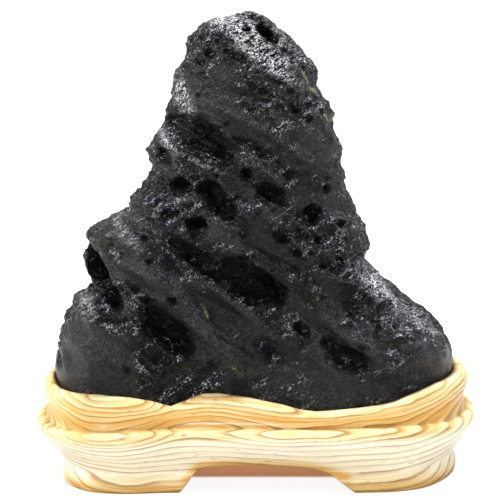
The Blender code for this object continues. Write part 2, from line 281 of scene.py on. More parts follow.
def remesh(obj: bpy.types.Object, voxel: float) -> None:
    """Even out an object's mesh.

    Args:
        obj: Object to change.
        voxel: Edge length of the new faces in millimetres.
    """
    modifier = obj.modifiers.new("remesh", "REMESH")
    modifier.mode = "VOXEL"
    modifier.voxel_size = voxel * MM
    apply_modifiers(obj)


def keep_main_shell(obj: bpy.types.Object) -> None:
    """Delete every shell of the object's mesh but the largest."""
    mesh = obj.data
    ends = np.empty(len(mesh.edges) * 2, dtype=np.int64)
    mesh.edges.foreach_get("vertices", ends)
    ends = ends.reshape(-1, 2)
    label = np.arange(len(mesh.vertices))
    while True:
        lowest = np.minimum(label[ends[:, 0]], label[ends[:, 1]])
        fresh = label.copy()
        np.minimum.at(fresh, ends[:, 0], lowest)
        np.minimum.at(fresh, ends[:, 1], lowest)
        fresh = fresh[fresh]
        if np.array_equal(fresh, label):
            break
        label = fresh
    main = np.bincount(label).argmax()
    loose = np.flatnonzero(label != main)
    if len(loose) == 0:
        return
    shell = bmesh.new()
    shell.from_mesh(mesh)
    shell.verts.ensure_lookup_table()
    bmesh.ops.delete(shell, geom=[shell.verts[index] for index in loose], context="VERTS")
    shell.to_mesh(mesh)
    shell.free()


def points_of(obj: bpy.types.Object) -> np.ndarray:
    """Vertex positions of the object's mesh, in millimetres."""
    points = np.empty(len(obj.data.vertices) * 3)
    obj.data.vertices.foreach_get("co", points)
    return points.reshape(-1, 3) / MM


def normals_of(obj: bpy.types.Object) -> np.ndarray:
    """Vertex normals of the object's mesh."""
    normals = np.empty(len(obj.data.vertices) * 3)
    obj.data.vertex_normals.foreach_get("vector", normals)
    return normals.reshape(-1, 3)


def set_points(obj: bpy.types.Object, points: np.ndarray) -> None:
    """Move the vertices of the object's mesh to points in millimetres."""
    obj.data.vertices.foreach_set("co", (points * MM).ravel())
    obj.data.update()


def set_attribute(obj: bpy.types.Object, name: str, values: np.ndarray) -> None:
    """Store one number for each vertex under a name that materials can read."""
    attribute = obj.data.attributes.new(name, "FLOAT", "POINT")
    attribute.data.foreach_set("value", values.astype(np.float32))


class Sheet:
    """A node tree while it is wired up."""

    def __init__(self, tree: bpy.types.NodeTree) -> None:
        """Take the tree that the nodes go in."""
        self.tree = tree

    def node(self, kind: str, **settings: object) -> bpy.types.Node:
        """Add a node.

        Args:
            kind: The node's type.
            settings: Its properties.

        Returns:
            The new node.
        """
        node = self.tree.nodes.new(kind)
        for name, value in settings.items():
            setattr(node, name, value)
        return node

    def feed(self, socket: bpy.types.NodeSocket, value: object) -> None:
        """Link a socket to another, or set its own value."""
        if isinstance(value, bpy.types.NodeSocket):
            self.tree.links.new(value, socket)
        else:
            socket.default_value = value

    def math(self, operation: str, *values: object, clamp: bool = False) -> bpy.types.NodeSocket:
        """Number made from one to three others.

        Args:
            operation: What is done with them.
            values: Sockets or plain numbers.
            clamp: Whether the answer is held between 0 and 1.

        Returns:
            The socket with the answer.
        """
        node = self.node("ShaderNodeMath", operation=operation, use_clamp=clamp)
        for socket, value in zip(node.inputs, values):
            self.feed(socket, value)
        return node.outputs[0]

    def times(self, *values: object) -> bpy.types.NodeSocket:
        """Product of two or more numbers."""
        return reduce(partial(self.math, "MULTIPLY"), values)

    def plus(self, *values: object) -> bpy.types.NodeSocket:
        """Sum of two or more numbers."""
        return reduce(partial(self.math, "ADD"), values)

    def minus(self, first: object, second: object) -> bpy.types.NodeSocket:
        """First number less the second."""
        return self.math("SUBTRACT", first, second)

    def over(self, first: object, second: object) -> bpy.types.NodeSocket:
        """First number divided by the second."""
        return self.math("DIVIDE", first, second)

    def vector_math(self, operation: str, *values: object) -> bpy.types.NodeSocket:
        """Vector made from one or more others.

        Args:
            operation: What is done with them.
            values: Sockets or plain triples. The last may be a scale.

        Returns:
            The socket with the vector.
        """
        node = self.node("ShaderNodeVectorMath", operation=operation)
        sockets = list(node.inputs)
        if operation == "SCALE":
            sockets = [node.inputs[0], node.inputs["Scale"]]
        for socket, value in zip(sockets, values):
            self.feed(socket, value)
        return node.outputs["Vector"]

    def ranged(
        self, value: object, low: float, high: float, start: object = 0.0, end: object = 1.0,
        smooth: bool = True,
    ) -> bpy.types.NodeSocket:
        """Number brought from one range to another and held there.

        Args:
            value: What is read.
            low: Value that gives start.
            high: Value that gives end.
            start: Answer at low.
            end: Answer at high.
            smooth: Whether the rise is eased at both ends.

        Returns:
            The socket with the answer.
        """
        node = self.node("ShaderNodeMapRange")
        node.interpolation_type = "SMOOTHSTEP" if smooth else "LINEAR"
        for name, given in (
            ("Value", value), ("From Min", low), ("From Max", high),
            ("To Min", start), ("To Max", end),
        ):
            self.feed(node.inputs[name], given)
        return node.outputs["Result"]

    def noise(
        self, vector: object, scale: float, detail: float = 2.0, roughness: float = 0.5,
    ) -> bpy.types.NodeSocket:
        """Noise from about 0 to 1.

        Args:
            vector: Where it is read.
            scale: Features for each unit of length.
            detail: Number of finer layers.
            roughness: Strength of the finer layers.

        Returns:
            The socket with the number.
        """
        node = self.node("ShaderNodeTexNoise")
        for name, given in (
            ("Vector", vector), ("Scale", scale), ("Detail", detail), ("Roughness", roughness),
        ):
            self.feed(node.inputs[name], given)
        return node.outputs["Fac"]

    def combined(self, across: object, along: object, up: object) -> bpy.types.NodeSocket:
        """Vector made from three numbers."""
        node = self.node("ShaderNodeCombineXYZ")
        for socket, value in zip(node.inputs, (across, along, up)):
            self.feed(socket, value)
        return node.outputs["Vector"]

    def drawn_out(
        self, place: object, dip: object, size: object, stretch: object,
    ) -> bpy.types.NodeSocket:
        """Place in which noise of size 1 comes out in one size and drawn out along a dip.

        Args:
            place: Place in millimetres.
            dip: Angle of the grain in radians.
            size: Size of the features in millimetres.
            stretch: How many times longer they are along the grain.

        Returns:
            The socket with the place.
        """
        turn = self.node("ShaderNodeVectorRotate", rotation_type="Y_AXIS")
        self.feed(turn.inputs["Vector"], place)
        self.feed(turn.inputs["Angle"], dip)
        scale = self.over(1.0, size)
        squeeze = self.combined(self.over(scale, stretch), scale, scale)
        return self.vector_math("MULTIPLY", turn.outputs["Vector"], squeeze)

    def mixed(
        self, factor: object, first: object, second: object, blend: str = "MIX",
    ) -> bpy.types.NodeSocket:
        """Colour mixed from two others.

        Args:
            factor: Share of the second.
            first: Colour at 0.
            second: Colour at 1.
            blend: How they are mixed.

        Returns:
            The socket with the colour.
        """
        node = self.node("ShaderNodeMix", data_type="RGBA", blend_type=blend)
        self.feed(node.inputs[0], factor)
        self.feed(node.inputs[6], first)
        self.feed(node.inputs[7], second)
        return node.outputs[2]

    def attribute(self, name: str) -> bpy.types.NodeSocket:
        """Number stored on the mesh under a name."""
        return self.node("ShaderNodeAttribute", attribute_name=name).outputs["Fac"]


@dataclass(frozen=True)
class GroupSocket:
    """A named socket of a node group."""

    name: str
    kind: str
    value: float | None = None


class NodeEffect:
    """A shared effect: a shader node group with named inputs and outputs."""

    title = "effect"
    takes: tuple[GroupSocket, ...] = ()
    gives: tuple[GroupSocket, ...] = ()

    def __init__(self) -> None:
        """Build the group once."""
        self.tree = bpy.data.node_groups.new(self.title, "ShaderNodeTree")
        for direction, sockets in (("INPUT", self.takes), ("OUTPUT", self.gives)):
            for entry in sockets:
                socket = self.tree.interface.new_socket(
                    entry.name, in_out=direction, socket_type=entry.kind)
                if entry.value is not None:
                    socket.default_value = entry.value
        sheet = Sheet(self.tree)
        source = sheet.node("NodeGroupInput")
        answers = self.wire(sheet, source.outputs)
        target = sheet.node("NodeGroupOutput")
        for name, socket in answers.items():
            sheet.feed(target.inputs[name], socket)

    def wire(self, sheet: Sheet, given: bpy.types.bpy_prop_collection) -> dict:
        """Wire the effect.

        Args:
            sheet: The group's tree.
            given: The group's inputs.

        Returns:
            The socket of each output, by name.
        """
        raise NotImplementedError

    def place(self, sheet: Sheet, **values: object) -> bpy.types.bpy_prop_collection:
        """Put the effect in a material.

        Args:
            sheet: The material's tree.
            values: Inputs by name, with underscores for spaces.

        Returns:
            The outputs of the placed group.
        """
        node = sheet.node("ShaderNodeGroup", node_tree=self.tree)
        for name, value in values.items():
            sheet.feed(node.inputs[name.replace("_", " ")], value)
        return node.outputs


VECTOR = "NodeSocketVector"
NUMBER = "NodeSocketFloat"


class FineGrain(NodeEffect):
    """Fine relief drawn out along one direction: the fibres of wood, the grain of stone."""

    title = "fine grain"
    takes = (
        GroupSocket("Place", VECTOR),
        GroupSocket("Grain Size", NUMBER, 1.0),
        GroupSocket("Stretch", NUMBER, 4.0),
        GroupSocket("Dip", NUMBER, 0.0),
    )
    gives = (GroupSocket("Height", NUMBER),)

    def wire(self, sheet: Sheet, given: bpy.types.bpy_prop_collection) -> dict:
        """Turn the place by the dip, squeeze it along the grain and read noise there.

        Args:
            sheet: The group's tree.
            given: Place in millimetres, Grain Size, Stretch and Dip in radians.

        Returns:
            Height from 0 to 1.
        """
        place = sheet.drawn_out(
            given["Place"], given["Dip"], given["Grain Size"], given["Stretch"])
        return {"Height": sheet.noise(place, 1.0, 3.0, 0.62)}


class GrowthRings(NodeEffect):
    """Growth rings of a log that lies along X, cut open by the carving."""

    title = "growth rings"
    takes = (
        GroupSocket("Place", VECTOR),
        GroupSocket("Ring Width", NUMBER, 4.0),
        GroupSocket("Close Width", NUMBER, 2.3),
        GroupSocket("Close From", NUMBER, 143.0),
        GroupSocket("Heart Y", NUMBER, 30.0),
        GroupSocket("Heart Z", NUMBER, -90.0),
        GroupSocket("Waver", NUMBER, 4.0),
    )
    gives = (
        GroupSocket("Line", NUMBER), GroupSocket("Tone", NUMBER), GroupSocket("Fleck", NUMBER),
        GroupSocket("Streak", NUMBER),
    )

    def wire(self, sheet: Sheet, given: bpy.types.bpy_prop_collection) -> dict:
        """Read the distance from the heart of the log, with slow and quick waves in it.

        Args:
            sheet: The group's tree.
            given: Place in millimetres, Ring Width near the heart, Close Width beyond the
                radius Close From, Heart Y, Heart Z and Waver.

        Returns:
            Line, sharp on its outer edge; Tone, the slow change within a ring; Fleck, short
            brown marks; and Streak, fine fibres that follow the rings.
        """
        place = given["Place"]
        waver = given["Waver"]
        parts = sheet.node("ShaderNodeSeparateXYZ")
        sheet.feed(parts.inputs[0], place)
        lazy = sheet.vector_math("MULTIPLY", place, (0.012, 0.024, 0.024))
        quick = sheet.vector_math("MULTIPLY", place, (0.05, 0.11, 0.11))
        slow_wave = sheet.minus(sheet.noise(lazy, 1.0, 1.0), 0.5)
        quick_wave = sheet.minus(sheet.noise(quick, 1.0, 2.0), 0.5)
        from_y = sheet.minus(parts.outputs["Y"], given["Heart Y"])
        from_z = sheet.minus(parts.outputs["Z"], given["Heart Z"])
        radius = sheet.math("SQRT", sheet.plus(
            sheet.times(from_y, from_y), sheet.times(from_z, from_z)))
        radius = sheet.plus(radius, sheet.plus(
            sheet.times(slow_wave, sheet.times(waver, 4.0)),
            sheet.times(quick_wave, sheet.times(waver, 0.7))))
        beyond = sheet.math("MAXIMUM", sheet.minus(radius, given["Close From"]), 0.0)
        gain = sheet.minus(
            sheet.over(1.0, given["Close Width"]), sheet.over(1.0, given["Ring Width"]))
        ring = sheet.plus(sheet.over(radius, given["Ring Width"]), sheet.times(beyond, gain))
        within = sheet.math("FRACT", ring)
        strength = sheet.node("ShaderNodeTexWhiteNoise", noise_dimensions="1D")
        sheet.feed(strength.inputs["W"], sheet.math("FLOOR", ring))
        along = sheet.vector_math("MULTIPLY", place, (0.035, 0.1, 0.1))
        fading = sheet.ranged(sheet.noise(along, 1.0, 2.0), 0.34, 0.56, 0.4, 1.0)
        share = sheet.ranged(strength.outputs["Value"], 0.0, 1.0, 0.55, 1.0, smooth=False)
        line = sheet.times(
            sheet.times(
                sheet.ranged(within, 0.62, 0.92), sheet.ranged(within, 0.95, 1.0, 1.0, 0.0)),
            sheet.times(fading, share))
        tone = sheet.times(sheet.ranged(within, 0.1, 0.9), share)
        ring_place = sheet.combined(
            sheet.times(parts.outputs["X"], 0.03), sheet.times(radius, 1.2),
            sheet.times(parts.outputs["Y"], 0.03))
        streak = sheet.noise(ring_place, 1.0, 3.0, 0.6)
        speck_place = sheet.vector_math("MULTIPLY", ring_place, (5.0, 0.4, 5.0))
        fleck = sheet.ranged(sheet.noise(speck_place, 1.0, 2.0), 0.64, 0.76)
        return {"Line": line, "Tone": tone, "Fleck": fleck, "Streak": streak}


class Sparkle(NodeEffect):
    """Tiny facets, each turned its own way, that catch the light one by one."""

    title = "sparkle"
    takes = (
        GroupSocket("Place", VECTOR),
        GroupSocket("Normal", VECTOR),
        GroupSocket("Facet Size", NUMBER, 0.7),
        GroupSocket("Stretch", NUMBER, 2.0),
        GroupSocket("Dip", NUMBER, 0.0),
        GroupSocket("Spread", NUMBER, 0.4),
        GroupSocket("Share", NUMBER, 0.3),
    )
    gives = (GroupSocket("Normal", VECTOR), GroupSocket("Facet", NUMBER))

    def wire(self, sheet: Sheet, given: bpy.types.bpy_prop_collection) -> dict:
        """Tip the normal by a random amount in a share of the cells, and a little elsewhere.

        Args:
            sheet: The group's tree.
            given: Place in millimetres, Normal, Facet Size, Stretch, Dip, Spread and Share.

        Returns:
            The tipped Normal, and Facet, which is 1 in a few of the cells that are tipped far.
        """
        cells = sheet.node("ShaderNodeTexVoronoi", feature="F1", voronoi_dimensions="3D")
        sheet.feed(cells.inputs["Vector"], sheet.drawn_out(
            given["Place"], given["Dip"], given["Facet Size"], given["Stretch"]))
        cells.inputs["Scale"].default_value = 1.0
        centred = sheet.vector_math("SUBTRACT", cells.outputs["Color"], (0.5, 0.5, 0.5))
        own = sheet.node("ShaderNodeTexWhiteNoise", noise_dimensions="3D")
        sheet.feed(own.inputs["Vector"], cells.outputs["Position"])
        chosen = sheet.math("LESS_THAN", own.outputs["Value"], given["Share"])
        reach = sheet.times(given["Spread"], 2.0, sheet.ranged(chosen, 0.0, 1.0, 0.12, 1.0))
        normal = sheet.vector_math(
            "ADD", given["Normal"], sheet.vector_math("SCALE", centred, reach))
        few = sheet.math("LESS_THAN", own.outputs["Value"], sheet.times(given["Share"], 0.5))
        return {"Normal": sheet.vector_math("NORMALIZE", normal), "Facet": few}


def new_material(name: str) -> tuple[bpy.types.Material, Sheet, bpy.types.Node]:
    """Start a material.

    Args:
        name: Its name.

    Returns:
        The material, its node sheet and its Principled shader.
    """
    material = bpy.data.materials.new(name)
    material.use_nodes = True
    sheet = Sheet(material.node_tree)
    return material, sheet, material.node_tree.nodes["Principled BSDF"]


def bumped(sheet: Sheet, depth: float, strength: float, height: object) -> object:
    """Relief made from a height.

    Args:
        sheet: The material's tree.
        depth: Depth of the relief in millimetres.
        strength: Share of it that is seen.
        height: The socket with the height.

    Returns:
        The socket with the normal.
    """
    bump = sheet.node("ShaderNodeBump")
    bump.inputs["Distance"].default_value = depth * MM
    bump.inputs["Strength"].default_value = strength
    sheet.feed(bump.inputs["Height"], height)
    return bump.outputs["Normal"]


def place_in_mm(sheet: Sheet) -> bpy.types.NodeSocket:
    """Object coordinates of a material, in millimetres."""
    coordinates = sheet.node("ShaderNodeTexCoord")
    return sheet.vector_math("SCALE", coordinates.outputs["Object"], 1 / MM)


@dataclass(frozen=True)
class StoneFinish:
    """Black oiled stone: satin ribs, wet rough hollows with painted shade, painted highlights and
    glints, and a sparkle of tiny facets.
    """

    body: tuple = (0.0034, 0.0040, 0.0041, 1)
    brown: tuple = (0.0090, 0.0074, 0.0048, 1)
    green: tuple = (0.0045, 0.0075, 0.0062, 1)
    worn: tuple = (0.050, 0.058, 0.053, 1)
    # Whitish colour of the painted highlights
    pale: tuple = (0.80, 0.81, 0.82, 1)
    gold: tuple = (0.50, 0.45, 0.22, 1)
    # Colour of the painted glints
    glint: tuple = (0.42, 0.43, 0.50, 1)
    # Near black of the painted shade in and round the hollows
    deep: tuple = (0.0005, 0.0005, 0.0006, 1)
    dip: float = 33.0
    satin: float = 0.25
    wet: float = 0.12
    ior: float = 1.36
    relief: float = 2.6
    bed_grain: tuple = (1.5, 5.0)
    fine_grain: tuple = (0.7, 1.6)
    glint_grain: tuple = (4.5, 4.0)
    facet: tuple = (0.4, 1.8)

    def colour_of(self, sheet: Sheet, place: object, beds: object, fine: object) -> object:
        """Black with brown and green tints, paler on worn ribs, with painted highlights and gold
        veins, and painted shade in the hollows.

        Args:
            sheet: The material's tree.
            place: Place in millimetres.
            beds: Height of the coarse grain.
            fine: Height of the fine grain.

        Returns:
            The socket with the colour.
        """
        brown_share = sheet.ranged(sheet.noise(place, 0.05, 2.0), 0.48, 0.66, 0.0, 0.8)
        other_place = sheet.vector_math("ADD", place, (90.0, 40.0, 7.0))
        green_share = sheet.ranged(sheet.noise(other_place, 0.06, 2.0), 0.5, 0.68, 0.0, 0.8)
        dust = sheet.times(
            sheet.ranged(fine, 0.53, 0.585), sheet.ranged(beds, 0.36, 0.6, 0.1, 1.0),
            sheet.attribute("proud"), 0.85)
        fibres = sheet.times(sheet.ranged(beds, 0.44, 0.5), sheet.ranged(fine, 0.46, 0.52))
        # Painted shade: deep hollows and the patches round them are painted near black
        shaded = sheet.math("MAXIMUM", sheet.attribute("depth"), sheet.attribute("painted_hollow_shade"))
        colour = self.body
        for share, tint in (
            (brown_share, self.brown),
            (green_share, self.green),
            (dust, self.worn),
            # Painted highlights: whitish fibres where the lights catch the stone
            (sheet.times(sheet.attribute("painted_highlight"), fibres), self.pale),
            (shaded, self.deep),
            (sheet.times(sheet.attribute("gilt"), sheet.ranged(fine, 0.4, 0.55)), self.gold),
        ):
            colour = sheet.mixed(share, colour, tint)
        return colour

    def make(self, grain: FineGrain, sparkle: Sparkle) -> bpy.types.Material:
        """Build the material.

        Args:
            grain: The shared grain effect.
            sparkle: The shared sparkle effect.

        Returns:
            The finished material.
        """
        material, sheet, shader = new_material("oiled_black_stone")
        place = place_in_mm(sheet)
        rough = sheet.attribute("rough")
        depth = sheet.attribute("depth")
        dip = math.radians(self.dip)
        beds, fine, streaks = (
            grain.place(sheet, Place=place, Grain_Size=size, Stretch=stretch, Dip=dip)["Height"]
            for size, stretch in (self.bed_grain, self.fine_grain, self.glint_grain))
        sheet.feed(shader.inputs["Roughness"], sheet.plus(
            sheet.ranged(rough, 0.2, 0.85, self.satin, self.wet),
            sheet.ranged(fine, 0.3, 0.7, -0.05, 0.08)))
        shader.inputs["Metallic"].default_value = 0.0
        shader.inputs["IOR"].default_value = self.ior
        relief = sheet.times(
            sheet.plus(beds, sheet.times(fine, 0.4)), sheet.ranged(rough, 0.0, 0.8, 0.6, 1.0))
        share = sheet.times(
            sheet.ranged(rough, 0.1, 0.9, 0.22, 0.5), sheet.ranged(depth, 0.2, 1.0, 1.0, 0.35))
        facets = sparkle.place(
            sheet, Place=place, Normal=bumped(sheet, self.relief, 1.0, relief),
            Facet_Size=self.facet[0], Stretch=self.facet[1], Dip=dip,
            Spread=sheet.ranged(rough, 0.1, 0.85, 0.55, 1.3), Share=share)
        sheet.feed(shader.inputs["Normal"], facets["Normal"])
        # Painted glints: pale colour added in a few tipped facets, in clusters along the beds and
        # less in deep hollows, for the sparkle of the light
        clusters = sheet.times(
            sheet.ranged(streaks, 0.52, 0.62), sheet.ranged(rough, 0.1, 0.5))
        painted_glints = sheet.times(
            facets["Facet"], sheet.ranged(depth, 0.4, 1.0, 1.0, 0.15), clusters)
        sheet.feed(shader.inputs["Base Color"], sheet.mixed(
            painted_glints, self.colour_of(sheet, place, beds, fine), self.glint, "ADD"))
        return material


@dataclass(frozen=True)
class WoodFinish:
    """Pale varnished wood with orange-brown growth lines, painted shade in the cove, at the
    seat's edge and underneath, and painted light on the waist.
    """

    pale: tuple = (0.90, 0.77, 0.41, 1)
    cream: tuple = (0.97, 0.91, 0.72, 1)
    honey: tuple = (0.72, 0.39, 0.075, 1)
    line: tuple = (0.26, 0.085, 0.018, 1)
    # Dark colour of the painted shade at the seat's edge, where the stone sits in it
    seat_edge_shade: tuple = (0.10, 0.035, 0.015, 1)
    shade: tuple = (0.42, 0.13, 0.045, 1)
    ring_width: float = 4.6
    close_width: float = 2.3
    close_from: float = 143.0
    heart_y: float = 30.0
    heart_z: float = -90.0
    waver: float = 3.4
    fibre_grain: tuple = (0.8, 14.0)
    ior: float = 1.48
    coat: float = 0.08
    coat_roughness: float = 0.16
    relief: float = 0.12

    def make(self, grain: FineGrain, rings: GrowthRings) -> bpy.types.Material:
        """Build the material.

        Args:
            grain: The shared grain effect.
            rings: The shared growth ring effect.

        Returns:
            The finished material.
        """
        material, sheet, shader = new_material("pale_varnished_wood")
        place = place_in_mm(sheet)
        growth = rings.place(
            sheet, Place=place, Ring_Width=self.ring_width, Close_Width=self.close_width,
            Close_From=self.close_from, Heart_Y=self.heart_y, Heart_Z=self.heart_z,
            Waver=self.waver)
        size, stretch = self.fibre_grain
        fibre = grain.place(sheet, Place=place, Grain_Size=size, Stretch=stretch)["Height"]
        # Painted light: the waist is painted paler cream, with less honey and fainter lines, for
        # the bright light that it gets from below and in front
        waist = sheet.attribute("waist")
        # Warmth from the honey tone and streaks of the rings, from painted shade in the concave
        # cove, and at the toes and collar
        warm = sheet.plus(
            sheet.times(growth["Tone"], 0.5), sheet.times(sheet.attribute("cove"), 0.55),
            sheet.ranged(growth["Streak"], 0.36, 0.66, -0.2, 0.5), sheet.attribute("collar"))
        warm = sheet.math("MULTIPLY", warm, sheet.ranged(waist, 0.0, 1.0, 1.0, 0.45), clamp=True)
        line_share = sheet.times(growth["Line"], sheet.ranged(waist, 0.0, 1.0, 0.85, 0.75))
        colour = self.pale
        for share, tint in (
            (waist, self.cream),
            (warm, self.honey),
            (line_share, self.line),
            (sheet.times(growth["Fleck"], 0.5), self.line),
            # Painted shade at the seat's edge, in the gap round the stone
            (sheet.attribute("contact"), self.seat_edge_shade),
            # Painted shade on the underside of the stand
            (sheet.attribute("under"), self.shade),
        ):
            colour = sheet.mixed(share, colour, tint)
        sheet.feed(shader.inputs["Base Color"], colour)
        sheet.feed(shader.inputs["Roughness"], sheet.ranged(fibre, 0.3, 0.7, 0.42, 0.52))
        for name, value in (
            ("Metallic", 0.0), ("IOR", self.ior), ("Coat Weight", self.coat),
            ("Coat Roughness", self.coat_roughness),
        ):
            shader.inputs[name].default_value = value
        height = sheet.minus(fibre, sheet.times(growth["Line"], 0.8))
        sheet.feed(shader.inputs["Normal"], bumped(sheet, self.relief, 0.5, height))
        return material


@dataclass(frozen=True)
class FloorFinish:
    """Plain white table top that a camera sees as bright paper, with a brown shadow painted under
    the stand.
    """

    colour: tuple = (0.52, 0.52, 0.52, 1)
    glow: float = 0.88
    shade: tuple = (0.36, 0.13, 0.04, 1)
    shade_middle: tuple = (8.0, 20.0)
    shade_half: tuple = (62.0, 21.0)

    def make(self) -> bpy.types.Material:
        """Build the material."""
        material, sheet, shader = new_material("white_table")
        shader.inputs["Base Color"].default_value = self.colour
        shader.inputs["Roughness"].default_value = 0.8
        seen = sheet.node("ShaderNodeLightPath").outputs["Is Camera Ray"]
        parts = sheet.node("ShaderNodeSeparateXYZ")
        sheet.feed(parts.inputs[0], place_in_mm(sheet))
        # Painted shadow: the glow that the camera sees turns brown under the stand
        share = None
        for axis, middle, half in zip("XY", self.shade_middle, self.shade_half):
            away = sheet.math("ABSOLUTE", sheet.minus(parts.outputs[axis], middle))
            inside = sheet.ranged(away, half - 4.0, half + 2.0, 1.0, 0.0)
            share = inside if share is None else sheet.times(share, inside)
        white = (self.glow, self.glow, self.glow, 1)
        sheet.feed(shader.inputs["Emission Color"], sheet.mixed(share, white, self.shade))
        sheet.feed(shader.inputs["Emission Strength"], seen)
        return material


@dataclass(frozen=True)
class Layer:
    """One layer of noise: its grain and its height in millimetres, and its seed."""

    size: float
    height: float
    seed: float

    def at(self, points: np.ndarray) -> np.ndarray:
        """Height of the layer at each point."""
        return noise_at(points, self.size, self.seed) * self.height

    def ridges(self, points: np.ndarray, mean: float) -> np.ndarray:
        """Height of sharp ridges with hollows between them, where mean is their level."""
        return (mean - np.abs(noise_at(points, self.size, self.seed))) * self.height


@dataclass(frozen=True)
class Hollow:
    """One hollow or slot of the stone, or a swelling where its depth is negative.

    Across and height give its middle as seen on its side, dip the angle at which its length
    runs down to the right, lip how sharp its edge is from 0 to 1, turn how far its
    direction is turned from the side's own, and facing how much further it reaches onto
    skin that looks up or away.
    """

    side: Side
    across: float
    height: float
    length: float
    width: float
    dip: float
    depth: float
    lip: float = 0.5
    turn: float = 0.0
    facing: float = 0.0

    def outward(self) -> np.ndarray:
        """Direction out of the stone here."""
        angle = math.radians(self.side.value + self.turn)
        return np.array([math.sin(angle), -math.cos(angle), 0])

    def reach(self, points: np.ndarray) -> np.ndarray:
        """Distance of each point from the middle, where 1 is the edge."""
        angle = math.radians(self.side.value)
        rightward = np.array([math.cos(angle), math.sin(angle), 0])
        dip = math.radians(self.dip)
        across = points @ rightward - self.across
        up = points[:, 2] - self.height
        along_length = across * math.cos(dip) - up * math.sin(dip)
        along_width = across * math.sin(dip) + up * math.cos(dip)
        return np.hypot(along_length / self.length, along_width / self.width)

    def share(self, points: np.ndarray, normals: np.ndarray, wobble: np.ndarray) -> np.ndarray:
        """How fully each point belongs to the form.

        Args:
            points: Points in millimetres.
            normals: Their normals.
            wobble: How far the edge is ragged at each point.

        Returns:
            Shares from 0 to 1.
        """
        reach = self.reach(points) * (1 + wobble)
        inside = 1 - smoothstep(self.lip, 1, reach)
        seen = normals @ self.outward() + self.facing
        return inside * smoothstep(-0.05, 0.35, seen)

    def shift(
        self, points: np.ndarray, normals: np.ndarray, wobble: np.ndarray, lift: float,
    ) -> np.ndarray:
        """Movement of each point into the form.

        Args:
            points: Points in millimetres.
            normals: Their normals.
            wobble: How far the edge is ragged at each point.
            lift: Share of the depth by which the floor is raised.

        Returns:
            One vector for each point.
        """
        rise = lift - 2.2 * self.facing if self.depth > 0 else 0
        direction = np.array([0, 0, rise]) - self.outward()
        return self.share(points, normals, wobble)[:, None] * self.depth * direction


FRONT, RIGHT, BACK, LEFT = Side.FRONT, Side.RIGHT, Side.BACK, Side.LEFT


def front_patches(*rows: tuple) -> tuple:
    """Patches of the front's skin, each with its strength.

    Args:
        rows: Across, height, length, width, dip, lip and strength of each, and its facing
            where it has one.

    Returns:
        A pair of form and strength for each row.
    """
    return tuple((Hollow(FRONT, *row[:5], 1, row[5], 0, *row[7:]), row[6]) for row in rows)


